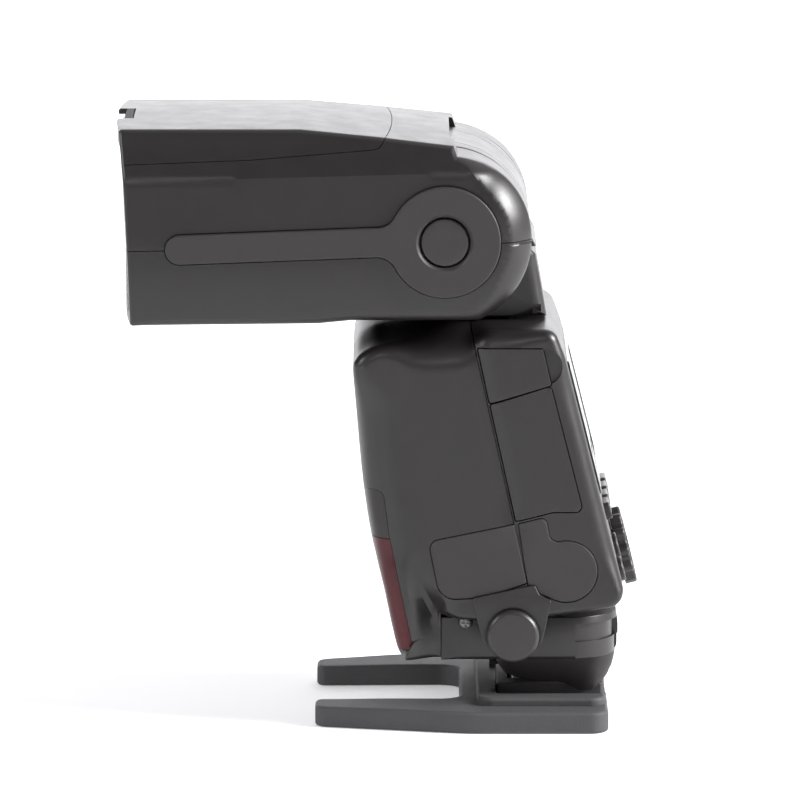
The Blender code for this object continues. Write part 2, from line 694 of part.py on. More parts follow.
def head_plan(height, steps=8):
    """The bowed front edge at a height: the front leans back towards the floor."""
    bow, lean = 2.15, 0.045
    shift = lean * (HEAD_TOP - height)
    front = []
    for k in range(steps + 1):
        y = -42.0 + 84.0 * k / steps
        x = -OVERALL_DEPTH / 2 + bow * (y / HEAD_HALF_WIDTH) ** 2 + shift
        front.append((x, y, height))
    return [(60.0, -42.0, height)] + front + [(60.0, 42.0, height)]


def head_form():
    form = prism("head_form", head_side_outline(), "Y", -42, 42)
    ends = prism("head_end_form", head_end_outline(), "X", -70, 45)
    plan = loft("head_plan_form", [head_plan(88.0), head_plan(150.0)])
    return keep(form, ends, plan)


def band(name, line, above, gap):
    """Everything above or below a line across the head, as a tool."""
    far = 170 if above else 80
    outline = [(x, z + gap) for x, z in line] + [(line[-1][0], far), (line[0][0], far)]
    return prism(name, outline, "Y", -60, 60)


def trim_corners(reach):
    """The paddle: a round disc about the pivot with an arm towards the front."""
    arm = 3.5 + reach
    disc = 13.3 + reach
    start = math.degrees(math.asin((arm + 2.6) / disc))
    nose = [(-50.3 - reach + arm, 116.9)]
    points = arc(PIVOT, disc, 180 - start, start - 180, 22)
    blend = [(3.4 - reach * 0.5, PIVOT[1] - arm + 0.2), (0.2, PIVOT[1] - arm - 0.2)]
    left = arc(nose[0], arm, 260, 100, 6)
    upper = [(0.2, PIVOT[1] + arm - 0.2), (3.4 - reach * 0.5, PIVOT[1] + arm + 0.2)]
    return points + blend + left + upper


def make_head_shells(mats):
    form = head_form()
    hollow = block("head_hollow", (-80, -9.0), (-35.2, 35.2), (101.3, 140.6))
    pocket = rod("drum_pocket", "Y", PIVOT, DRUM_RADIUS + 0.7, -19.3, 19.3, sides=32)
    under = block("drum_under_cut", (-5.3, 60), (-19.3, 19.3), (90, PIVOT[1]))
    behind = block("drum_behind_cut", (17.4, 60), (-19.3, 19.3), (110, 150))
    bore = rod("cheek_bore", "Y", PIVOT, AXLE_RADIUS + GAP, -33.8, 33.8, sides=20)
    recesses = []
    for side, name in ((-1, "left"), (1, "right")):
        low, high = sorted((side * 37.6, side * 50))
        recesses.append(prism(f"trim_recess_{name}", trim_corners(GAP), "Y", low, high))
    button_room = rod("bounce_room", "Y", PIVOT, 6.4, -50, -35.3, sides=24)
    common = (hollow, pocket, under, behind, bore, *recesses, button_room)

    upper = copy_of(form, "head_upper_shell", mats["shell"])
    keep(upper, band("above_head_seam", HEAD_SEAM, True, GAP / 2))
    cut(upper, band("above_insert_seam", INSERT_SEAM, True, -GAP), *common)

    lower = copy_of(form, "head_lower_shell", mats["shell"])
    keep(lower, band("below_head_seam", HEAD_SEAM, False, -GAP / 2))
    cut(lower, *common)
    return form, hollow


def make_top_insert(mats, form, hollow):
    insert = copy_of(form, "top_insert", mats["trim"])
    keep(insert, band("insert_region", INSERT_SEAM[:4] + ((2.4, 150.0),), True, 0.0))
    cut(insert, hollow)
    cut(insert, block("panel_slot", (-80, -10), (-30.3, 30.3), (141.4, 143.9)))
    cut(insert, block("tab_notch", (-80, -58.4), (-12.3, 6.3), (141.4, 150)))
    wide = block("wide_panel", (-61.2, -12), (-30, 30), (141.7, 142.6), mats["lens"])
    catch = block("catchlight_panel", (-61.2, -20), (-30, 30), (142.9, 143.6), mats["mirror"])
    combine(catch, "UNION", block("catch_tab_add", (-61.2, -58.8), (-12, 6), (143.1, 145.2)))
    hang([wide], "wide_panel_joint", (-61.2, 0, 142.1))
    hang([catch], "catchlight_panel_joint", (-61.2, 0, 143.2))


def make_head_front(mats, form):
    lens = copy_of(form, "fresnel_lens", mats["lens"])
    keep(lens, block("lens_region", (-80, -56.5), (-34.9, 34.9), (101.6, 140.3)))


def make_head_trims(mats):
    for side, name in ((-1, "left"), (1, "right")):
        low, high = sorted((side * 37.9, side * TRIM_FACE))
        trim = prism(f"side_trim_{name}", trim_corners(0.0), "Y", low, high, mats["trim"])
        if side < 0:
            cut(trim, rod("button_ring_cut", "Y", PIVOT, 6.3, -50, -30, sides=24))
    button = rod("bounce_button", "Y", PIVOT, 5.8, -39.7, -37.1, mats["button"], sides=24)
    hang([button], "bounce_button_joint", (PIVOT[0], -39.7, PIVOT[1]))


# ---------------------------------------------------------------- inside the head


FLASH_AXIS_Z = 121.0
SCREW_PLACE = (31.0, 107.0)  # y, z


def dish_ring(share, wall):
    """A rectangular section of the reflector; share runs from the open front to the back."""
    half_y = 26.8 - 7.0 * share**1.5 - wall
    half_z = 18.0 * math.sqrt(max(0.0, 1 - share)) * 0.70 + 18.0 * 0.30 - wall
    x = -54.0 + 27.0 * share
    return [(x, y, FLASH_AXIS_Z + z) for y, z in rectangle(-half_y, half_y, -half_z, half_z, 1.5)]


def make_zoom(mats):
    shares = (0.0, 0.3, 0.6, 0.85, 1.0)
    dish = loft("reflector", [dish_ring(s, 0.0) for s in shares], mats["mirror"])
    bowl_rings = [dish_ring(s, 1.2) for s in shares[:-1]]
    bowl_rings[0] = [(x - 3.0, y, z) for x, y, z in bowl_rings[0]]
    cut(dish, loft("dish_bowl", bowl_rings))
    tube = rod("flash_tube", "Y", (-36.0, FLASH_AXIS_Z), 2.0, -18.5, 18.5, mats["glass"], sides=14)
    nut = block("carriage_nut", (-46, -42), (28.0, 34.0), (103.5, 111.0), mats["inner"])
    cut(nut, rod("nut_bore", "X", SCREW_PLACE, 1.5, -60, -30, sides=12))
    hang([dish, tube, nut], "zoom_joint", (-54.0, 0, FLASH_AXIS_Z))
    screw = rod("lead_screw", "X", SCREW_PLACE, 1.2, -52, -24.4, mats["steel"], sides=12)
    hang([screw], "lead_screw_joint", (-52, *SCREW_PLACE))
    rod("zoom_motor", "X", SCREW_PLACE, 3.7, -24, -10, mats["steel"], sides=18)
    rod("guide_rod", "X", (-SCREW_PLACE[0], SCREW_PLACE[1]), 1.2, -53, -10, mats["steel"], sides=12)


# ---------------------------------------------------------------- whole object


def clear_scene():
    for thing in list(bpy.data.objects):
        bpy.data.objects.remove(thing, do_unlink=True)


def make_flash():
    mats = make_materials()
    make_stand(mats)
    make_foot(mats)
    make_lock_lever(mats)
    make_pedestal(mats)
    make_skirt(mats)
    outer, hollow, rear_shell = make_body_shells(mats)
    make_windows(mats, outer, hollow)
    make_side_covers(mats)
    make_sockets(mats)
    make_bracket_mount(mats)
    make_power_pack(mats)
    make_rear_controls(mats, rear_shell)
    make_neck(mats)
    form, head_hollow = make_head_shells(mats)
    make_top_insert(mats, form, head_hollow)
    make_head_front(mats, form)
    make_head_trims(mats)
    make_zoom(mats)


clear_scene()
make_flash()
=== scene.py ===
"""Looks for a full-size hot-shoe flash on its fork-shaped table stand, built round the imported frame.

Each sub-assembly is a class that holds its sizes in millimetres, builds its meshes and dresses them.
The light leaves the head along -X, the display faces +X and the battery door is on the -Y side.
"""

import logging
import math
from collections.abc import Callable, Sequence
from dataclasses import dataclass, field
from enum import Enum

import bmesh
import bpy
import numpy as np
from mathutils import Matrix, Vector
from mathutils.geometry import delaunay_2d_cdt


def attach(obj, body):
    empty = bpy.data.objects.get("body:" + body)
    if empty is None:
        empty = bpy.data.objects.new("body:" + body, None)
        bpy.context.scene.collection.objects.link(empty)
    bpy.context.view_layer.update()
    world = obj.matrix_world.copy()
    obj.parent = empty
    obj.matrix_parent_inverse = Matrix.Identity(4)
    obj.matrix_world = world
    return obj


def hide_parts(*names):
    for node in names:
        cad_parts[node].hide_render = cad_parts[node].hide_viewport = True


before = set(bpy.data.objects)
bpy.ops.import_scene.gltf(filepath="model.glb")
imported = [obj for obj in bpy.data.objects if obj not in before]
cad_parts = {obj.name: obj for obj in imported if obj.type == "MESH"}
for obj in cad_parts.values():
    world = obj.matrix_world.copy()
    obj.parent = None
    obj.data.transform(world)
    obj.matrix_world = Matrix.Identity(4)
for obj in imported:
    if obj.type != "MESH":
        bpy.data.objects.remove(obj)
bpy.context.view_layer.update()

log = logging.getLogger("flash")
MM = 0.001

Pair = tuple[float, float]
Outline = list[Pair]
Skin = Callable[[float, float], float]
Shape = Callable[[Vector], Vector]


class Axis(Enum):
    """The direction of a slab's thickness: where its two outline axes and its thickness go."""

    X = (2, 0, 1)
    Y = (0, 2, 1)
    Z = (0, 1, 2)


class Cut(Enum):
    """What a tool does to the form it meets."""

    TAKE = "DIFFERENCE"
    KEEP = "INTERSECT"
    JOIN = "UNION"


class Slot(Enum):
    """The record's material slots."""

    SHELL = "shell_plastic"
    COVER = "cover_rubber"
    STAND = "stand_plastic"
    BUTTON = "button_plastic"
    TRIM = "trim_plastic"
    RED = "red_window"
    SENSOR = "sensor_window"
    LENS = "lens_acrylic"
    DISPLAY = "display_glass"
    STEEL = "steel"
    BRASS = "brass"
    MIRROR = "reflector_metal"
    TUBE = "tube_glass"
    BOARD = "circuit_board"
    INNER = "inner_plastic"
    SLEEVE = "cell_sleeve"


# ---------------------------------------------------------------- shader arithmetic


class Signal:
    """A shader socket that Python arithmetic can be written with."""

    def __init__(self, graph: "Graph", socket: bpy.types.NodeSocket) -> None:
        """Wraps one output socket of a graph."""
        self.graph = graph
        self.socket = socket

    def _maths(self, operation: str, first: object, second: object, clamp: bool = False) -> "Signal":
        """Adds one Math node and returns its result."""
        settings = {"operation": operation, "use_clamp": clamp}
        return self.graph.node("ShaderNodeMath", settings, {0: first, 1: second})

    def __add__(self, other: object) -> "Signal":
        """Sum."""
        return self._maths("ADD", self, other)

    __radd__ = __add__

    def __sub__(self, other: object) -> "Signal":
        """Difference."""
        return self._maths("SUBTRACT", self, other)

    def __rsub__(self, other: object) -> "Signal":
        """Difference from a number."""
        return self._maths("SUBTRACT", other, self)

    def __mul__(self, other: object) -> "Signal":
        """Product."""
        return self._maths("MULTIPLY", self, other)

    __rmul__ = __mul__

    def __truediv__(self, other: object) -> "Signal":
        """Quotient."""
        return self._maths("DIVIDE", self, other)

    def __pow__(self, other: object) -> "Signal":
        """Power."""
        return self._maths("POWER", self, other)

    def clamped(self) -> "Signal":
        """The value kept between 0 and 1."""
        return self._maths("ADD", self, 0.0, clamp=True)

    def above(self, limit: float) -> "Signal":
        """1 where the value is over a limit, and 0 elsewhere."""
        return self._maths("GREATER_THAN", self, limit)


class Graph:
    """The node tree of one material, with its Principled shader."""

    def __init__(self, name: str) -> None:
        """Starts a material of this name."""
        self.material = bpy.data.materials.new(name)
        self.material.use_nodes = True
        self.tree = self.material.node_tree
        self.shader = self.tree.nodes["Principled BSDF"]

    def node(self, kind: str, settings: dict | None = None, values: dict | None = None, out: int | str = 0) -> Signal:
        """Adds a node.

        Args:
            kind: The node's type.
            settings: Its own options, set before its sockets.
            values: Numbers, tuples or signals for its inputs, by place or name.
            out: The output wanted.

        Returns:
            That output as a signal.
        """
        made = self.tree.nodes.new(kind)
        for key, value in (settings or {}).items():
            setattr(made, key, value)
        for key, value in (values or {}).items():
            self.feed(made.inputs[key], value)
        return Signal(self, made.outputs[out])

    def feed(self, socket: bpy.types.NodeSocket, value: object) -> None:
        """Links a signal to a socket, or sets its number."""
        if isinstance(value, Signal):
            self.tree.links.new(value.socket, socket)
        else:
            socket.default_value = value

    def set(self, **values: object) -> None:
        """Feeds the shader's own sockets, whose names have _ for a space."""
        for key, value in values.items():
            self.feed(self.shader.inputs[key.replace("_", " ")], value)

    def place(self, stretch: tuple[float, float, float] = (1.0, 1.0, 1.0)) -> Signal:
        """Object coordinates, stretched along each axis."""
        where = self.node("ShaderNodeTexCoord", out="Object")
        return self.node("ShaderNodeMapping", {}, {"Vector": where, "Scale": stretch})

    def noise(self, where: Signal, size: float, detail: float = 2.0, rough: float = 0.5) -> Signal:
        """Soft noise whose features are about a size in millimetres."""
        values = {"Vector": where, "Scale": 1.0 / (size * MM), "Detail": detail, "Roughness": rough}
        return self.node("ShaderNodeTexNoise", {}, values)

    def cells(self, where: Signal, size: float, feature: str = "F1") -> Signal:
        """Distance to the cells of a Voronoi pattern of a size in millimetres."""
        settings = {"feature": feature}
        return self.node("ShaderNodeTexVoronoi", settings, {"Vector": where, "Scale": 1.0 / (size * MM)}, "Distance")

    def mix(self, share: object, first: object, second: object) -> Signal:
        """A colour between two colours."""
        settings = {"data_type": "RGBA"}
        return self.node("ShaderNodeMix", settings, {0: share, 6: first, 7: second}, 2)

    def bump(self, height: Signal, depth: float, strength: float = 1.0, normal: Signal | None = None) -> Signal:
        """A normal from a height of 0 to 1 that is a depth in millimetres."""
        values: dict = {"Height": height, "Distance": depth * MM, "Strength": strength}
        if normal is not None:
            values["Normal"] = normal
        return self.node("ShaderNodeBump", {}, values)


def shade(colour: Sequence[float], factor: float = 1.0) -> tuple[float, float, float, float]:
    """A colour with alpha, lighter or darker by a factor."""
    return (colour[0] * factor, colour[1] * factor, colour[2] * factor, 1.0)


@dataclass(frozen=True)
class Moulded:
    """A moulded plastic or rubber with a sparked mould grain, rubbed smoother on its sharp edges, where its colour is
    also lightened as a painted highlight.
    """

    name: str
    colour: tuple[float, float, float]
    roughness: float = 0.45
    grain: float = 0.32
    depth: float = 0.012
    coat: float = 0.0
    edge_highlight_and_wear_share: float = 0.35

    def make(self) -> bpy.types.Material:
        """The material."""
        graph = Graph(self.name)
        where = graph.place()
        fine = graph.noise(where, self.grain, 3.0, 0.6)
        pits = graph.cells(where, self.grain * 1.9)
        cloud = graph.noise(where, 24.0, 3.0)
        smudge = graph.noise(where, 7.0, 4.0, 0.65)
        rim = graph.node("ShaderNodeNewGeometry", {}, {}, "Pointiness")
        # sharp convex edges: smoother from wear, and a painted highlight that lightens their colour
        edge_highlight_and_wear = ((rim - 0.53) * 9.0).clamped() * self.edge_highlight_and_wear_share
        tone = (cloud * 0.5 + fine * 0.5).clamped()
        tint = graph.mix(tone, shade(self.colour, 0.84), shade(self.colour, 1.16))
        graph.set(
            Base_Color=graph.mix(edge_highlight_and_wear, tint, shade(self.colour, 1.9)),
            Roughness=(smudge * 0.16 + fine * 0.08 + (self.roughness - 0.12) - edge_highlight_and_wear * 0.12).clamped(),
            Normal=graph.bump(fine * 0.7 + pits * 0.5, self.depth),
            Coat_Weight=self.coat,
        )
        return graph.material


@dataclass(frozen=True)
class Pane:
    """A tinted, polished window: deep colour under a clear gloss, with faint flow marks and dust."""

    name: str
    colour: tuple[float, float, float]
    deep: tuple[float, float, float]
    roughness: float = 0.1

    def make(self) -> bpy.types.Material:
        """The material."""
        graph = Graph(self.name)
        where = graph.place()
        flow = graph.noise(graph.place((1.0, 0.3, 0.4)), 9.0, 2.0)
        dust = (graph.noise(where, 0.5, 2.0) - 0.68).clamped() * 3.0
        graph.set(
            Base_Color=graph.mix(flow, shade(self.deep), shade(self.colour)),
            Roughness=(flow * 0.06 + dust * 0.25 + self.roughness).clamped(),
            Normal=graph.bump(flow, 0.05),
            Coat_Weight=0.08,
            Specular_IOR_Level=0.22,
        )
        return graph.material


@dataclass(frozen=True)
class Clear:
    """Clear acrylic or glass, with fine ribs or none, and a little haze."""

    name: str
    colour: tuple[float, float, float]
    roughness: float = 0.06
    share: float = 0.92
    ribs: float = 0.0

    def make(self) -> bpy.types.Material:
        """The material."""
        graph = Graph(self.name)
        where = graph.place()
        haze = graph.noise(where, 5.0, 3.0)
        height: Signal = haze * 0.3
        if self.ribs:
            settings = {"wave_type": "BANDS", "bands_direction": "Z", "wave_profile": "SAW"}
            values = {"Vector": where, "Scale": 0.314 / (self.ribs * MM), "Distortion": 0.0}
            height = height + graph.node("ShaderNodeTexWave", settings, values, "Fac")
        graph.set(
            Base_Color=graph.mix(haze, shade(self.colour, 0.92), shade(self.colour)),
            Roughness=(haze * 0.08 + self.roughness).clamped(),
            Normal=graph.bump(height, 0.12),
            Transmission_Weight=self.share,
            IOR=1.49,
        )
        return graph.material


@dataclass(frozen=True)
class Metal:
    """A metal with brushed or turned lines and faint stains."""

    name: str
    colour: tuple[float, float, float]
    roughness: float = 0.3
    lines: tuple[float, float, float] = (1.0, 14.0, 14.0)

    def make(self) -> bpy.types.Material:
        """The material."""
        graph = Graph(self.name)
        brushed = graph.noise(graph.place(self.lines), 1.6, 3.0, 0.7)
        stain = graph.noise(graph.place(), 4.0, 3.0)
        graph.set(
            Base_Color=graph.mix(stain, shade(self.colour, 0.8), shade(self.colour)),
            Metallic=1.0,
            Roughness=(brushed * 0.2 + stain * 0.14 + (self.roughness - 0.16)).clamped(),
            Normal=graph.bump(brushed, 0.01),
        )
        return graph.material


@dataclass(frozen=True)
class Board:
    """A circuit board: solder mask over copper tracks and pads."""

    name: str
    mask: tuple[float, float, float]

    def make(self) -> bpy.types.Material:
        """The material."""
        graph = Graph(self.name)
        where = graph.place()
        settings = {"feature": "F1", "distance": "CHEBYCHEV"}
        values = {"Vector": where, "Scale": 1.0 / (3.4 * MM), "Randomness": 0.7}
        field_ = graph.node("ShaderNodeTexVoronoi", settings, values, "Distance")
        tracks = (field_ * 9.0)._maths("FRACT", field_ * 9.0, 0.0).above(0.72)
        weave = graph.noise(where, 0.35, 2.0)
        graph.set(
            Base_Color=graph.mix(tracks, shade(self.mask), shade((0.05, 0.30, 0.10))),
            Roughness=(weave * 0.2 + 0.3).clamped(),
            Normal=graph.bump(tracks * 0.8 + weave * 0.2, 0.03),
        )
        return graph.material


@dataclass(frozen=True)
class Screen:
    """A grey-green liquid crystal behind glass, with a fine cell grid."""

    name: str
    colour: tuple[float, float, float]

    def make(self) -> bpy.types.Material:
        """The material."""
        graph = Graph(self.name)
        where = graph.place()
        settings = {"wave_type": "BANDS", "bands_direction": "Y"}
        grid = graph.node("ShaderNodeTexWave", settings, {"Vector": where, "Scale": 1200.0}, "Fac")
        cloud = graph.noise(where, 14.0, 2.0)
        graph.set(
            Base_Color=graph.mix((cloud * 0.7 + grid * 0.3), shade(self.colour, 0.85), shade(self.colour, 1.1)),
            Roughness=(cloud * 0.06 + 0.12).clamped(),
            Normal=graph.bump(cloud, 0.02),
            Coat_Weight=0.5,
        )
        return graph.material


@dataclass(frozen=True)
class Sweep:
    """White card whose emission is painted light: dim on the floor near the object, glowing brighter where it rises
    into the backdrop, and dimmer towards the sides.
    """

    name: str
    near: float
    far: float

    def make(self) -> bpy.types.Material:
        """The material."""
        graph = Graph(self.name)
        where = graph.place()
        grain = graph.noise(where, 1.2, 2.0)
        depth = graph.node("ShaderNodeSeparateXYZ", {}, {"Vector": where}, "Y")
        across = graph.node("ShaderNodeSeparateXYZ", {}, {"Vector": where}, "X")
        # painted light: the card's emission grows from the floor towards the backdrop and fades towards the sides
        share = ((depth - 0.5) * 0.9).clamped() * (1.9 - across * across * 1.3).clamped()
        near, far = ((level, level, level * 1.02, 1.0) for level in (self.near, self.far))
        painted_backdrop_glow = graph.mix(share, near, far)
        graph.set(
            Base_Color=graph.mix(grain, (0.80, 0.80, 0.81, 1.0), (0.84, 0.84, 0.85, 1.0)),
            Roughness=(grain * 0.1 + 0.75).clamped(),
            Normal=graph.bump(grain, 0.02),
            Emission_Color=painted_backdrop_glow,
            Emission_Strength=1.0,
        )
        return graph.material


FINISHES = {
    "shell": Moulded("shell_grain", (0.0078, 0.0060, 0.0064), 0.38),
    "cover": Moulded("cover_soft_rubber", (0.0180, 0.0155, 0.0160), 0.62, 0.22, 0.008),
    "stand": Moulded("stand_satin", (0.0440, 0.0422, 0.0445), 0.70, 0.40, 0.060),
    "button": Moulded("button_satin", (0.0150, 0.0125, 0.0130), 0.40, 0.26, 0.008),
    "trim": Moulded("trim_matt", (0.0165, 0.0140, 0.0145), 0.56, 0.24, 0.008),
    "inner": Moulded("inner_black", (0.016, 0.016, 0.017), 0.5),
    "red": Pane("red_glow_window", (0.075, 0.005, 0.008), (0.020, 0.002, 0.004), 0.3),
    "sensor": Pane("smoked_window", (0.026, 0.022, 0.023), (0.014, 0.012, 0.013), 0.3),
    "panel": Pane("panel_gloss_black", (0.016, 0.016, 0.018), (0.010, 0.010, 0.012), 0.12),
    "lens": Clear("lens_ribbed_acrylic", (0.93, 0.95, 0.96), 0.10, 0.85, 0.9),
    "tube": Clear("tube_clear_glass", (0.97, 0.98, 1.0), 0.03, 0.95),
    "white": Moulded("bounce_card_white", (0.80, 0.80, 0.79), 0.5, 0.3, 0.004, 0.0, 0.0),
    "ink": Moulded("print_grey", (0.30, 0.30, 0.31), 0.55, 0.3, 0.004, 0.0, 0.0),
    "mark": Moulded("segment_ink", (0.012, 0.016, 0.014), 0.4, 0.3, 0.003, 0.0, 0.0),
    "screen": Screen("screen_grey_green", (0.20, 0.25, 0.21)),
    "steel": Metal("steel_brushed", (0.60, 0.60, 0.61), 0.32, (1.0, 12.0, 12.0)),
    "dark": Metal("steel_blackened", (0.16, 0.16, 0.165), 0.42),
    "turned": Metal("steel_turned", (0.56, 0.56, 0.57), 0.28, (12.0, 1.0, 12.0)),
    "brass": Metal("brass_turned", (0.72, 0.53, 0.24), 0.34, (1.0, 1.0, 14.0)),
    "gold": Metal("contact_gold", (0.83, 0.62, 0.28), 0.24),
    "mirror": Metal("reflector_bright", (0.86, 0.86, 0.87), 0.16, (1.0, 1.0, 6.0)),
    "board": Board("board_green", (0.010, 0.10, 0.035)),
    "sleeve": Moulded("cell_sleeve_grey", (0.10, 0.10, 0.115), 0.3, 0.5, 0.003, 0.3, 0.0),
    "sleeve_band": Moulded("cell_sleeve_band", (0.42, 0.13, 0.05), 0.3, 0.5, 0.003, 0.3, 0.0),
    "floor": Sweep("floor_card", 0.22, 1.75),
}
PAINT: dict[str, bpy.types.Material] = {}


def paint(name: str) -> bpy.types.Material:
    """The material of a finish, made when it is first wanted."""
    if name not in PAINT:
        PAINT[name] = FINISHES[name].make()
    return PAINT[name]


# ---------------------------------------------------------------- outlines


def rounded(corners: Sequence[tuple[float, float, float]], step: float = 9.0) -> Outline:
    """Points of a closed outline whose corners (a, b, radius) are arcs.

    Args:
        corners: The outline's corners in order.
        step: The turn between two points of an arc, in degrees.

    Returns:
        The outline's points.
    """
    points: Outline = []
    for index, (a, b, radius) in enumerate(corners):
        if not radius:
            points.append((a, b))
            continue
        here = Vector((a, b))
        before = (Vector(corners[index - 1][:2]) - here).normalized()
        after = (Vector(corners[(index + 1) % len(corners)][:2]) - here).normalized()
        half = before.angle(after) / 2
        centre = here + (before + after).normalized() * (radius / math.sin(half))
        start = here + before * (radius / math.tan(half)) - centre
        sweep = start.angle_signed(here + after * (radius / math.tan(half)) - centre)
        count = max(2, math.ceil(abs(math.degrees(sweep)) / step))
        for k in range(count + 1):
            turned = centre + Matrix.Rotation(-sweep * k / count, 2) @ start
            points.append((turned.x, turned.y))
    return points


def arc(centre: Pair, radius: float, start: float, end: float, count: int) -> Outline:
    """Points on an arc between two angles in degrees."""
    angles = (math.radians(start + (end - start) * k / count) for k in range(count + 1))
    return [(centre[0] + radius * math.cos(t), centre[1] + radius * math.sin(t)) for t in angles]


def circle(centre: Pair, radius: float, sides: int = 48) -> Outline:
    """Points of a circle."""
    return arc(centre, radius, 0, 360, sides)[:-1]


def rectangle(low_a: float, high_a: float, low_b: float, high_b: float, radius: float = 0.0) -> Outline:
    """A rectangle with rounded corners."""
    ends = ((low_a, low_b), (high_a, low_b), (high_a, high_b), (low_a, high_b))
    return rounded([(a, b, radius) for a, b in ends])


def eased(points: Sequence[Pair], spans: int = 6) -> Outline:
    """A smooth line through points, by Catmull and Rom's rule."""
    row = [Vector(p) for p in (points[0], *points, points[-1])]
    line: Outline = []
    for a, b, c, d in zip(row, row[1:], row[2:], row[3:]):
        for k in range(spans):
            t = k / spans
            place = 0.5 * (2 * b + (c - a) * t + (2 * a - 5 * b + 4 * c - d) * t**2 + (3 * b - a - 3 * c + d) * t**3)
            line.append((place.x, place.y))
    line.append(tuple(points[-1]))
    return line


def spaced(outline: Outline, gap: float) -> Outline:
    """The outline with points added so that none are further apart than a gap."""
    line: Outline = []
    for (a, b), (c, d) in zip(outline, outline[1:] + outline[:1]):
        count = max(1, math.ceil(math.hypot(c - a, d - b) / gap))
        line += [(a + (c - a) * k / count, b + (d - b) * k / count) for k in range(count)]
    return line


def clean(outline: Outline) -> Outline:
    """The outline counter-clockwise and without repeated points."""
    line = [p for p, q in zip(outline, outline[-1:] + outline[:-1]) if math.dist(p, q) > 1e-3]
    area = sum(a * d - c * b for (a, b), (c, d) in zip(line, line[1:] + line[:1]))
    return line if area > 0 else line[::-1]


def inward(outline: Outline) -> list[Vector]:
    """The mitred inward direction at each point of a counter-clockwise outline."""
    ways = []
    for index, point in enumerate(outline):
        here = Vector(point)
        one = (here - Vector(outline[index - 1])).normalized()
        two = (Vector(outline[(index + 1) % len(outline)]) - here).normalized()
        left, right = Vector((-one.y, one.x)), Vector((-two.y, two.x))
        middle = (left + right).normalized()
        ways.append(middle / max(0.45, middle.dot(left)))
    return ways


def shifted(outline: Outline, amount: float) -> Outline:
    """The outline moved inwards by an amount, or outwards by a negative one."""
    line = clean(outline)
    return [tuple(Vector(p) + way * amount) for p, way in zip(line, inward(line))]


def stepped(value: float, low: float, high: float) -> float:
    """A smooth rise from 0 to 1 as a value goes from low to high."""
    share = min(1.0, max(0.0, (value - low) / (high - low)))
    return share * share * (3 - 2 * share)


def table(value: float, rows: Sequence[Pair]) -> float:
    """A value read off a table of (place, value) rows, in straight lines."""
    places, values = zip(*rows)
    return float(np.interp(value, places, values))


# ---------------------------------------------------------------- solids


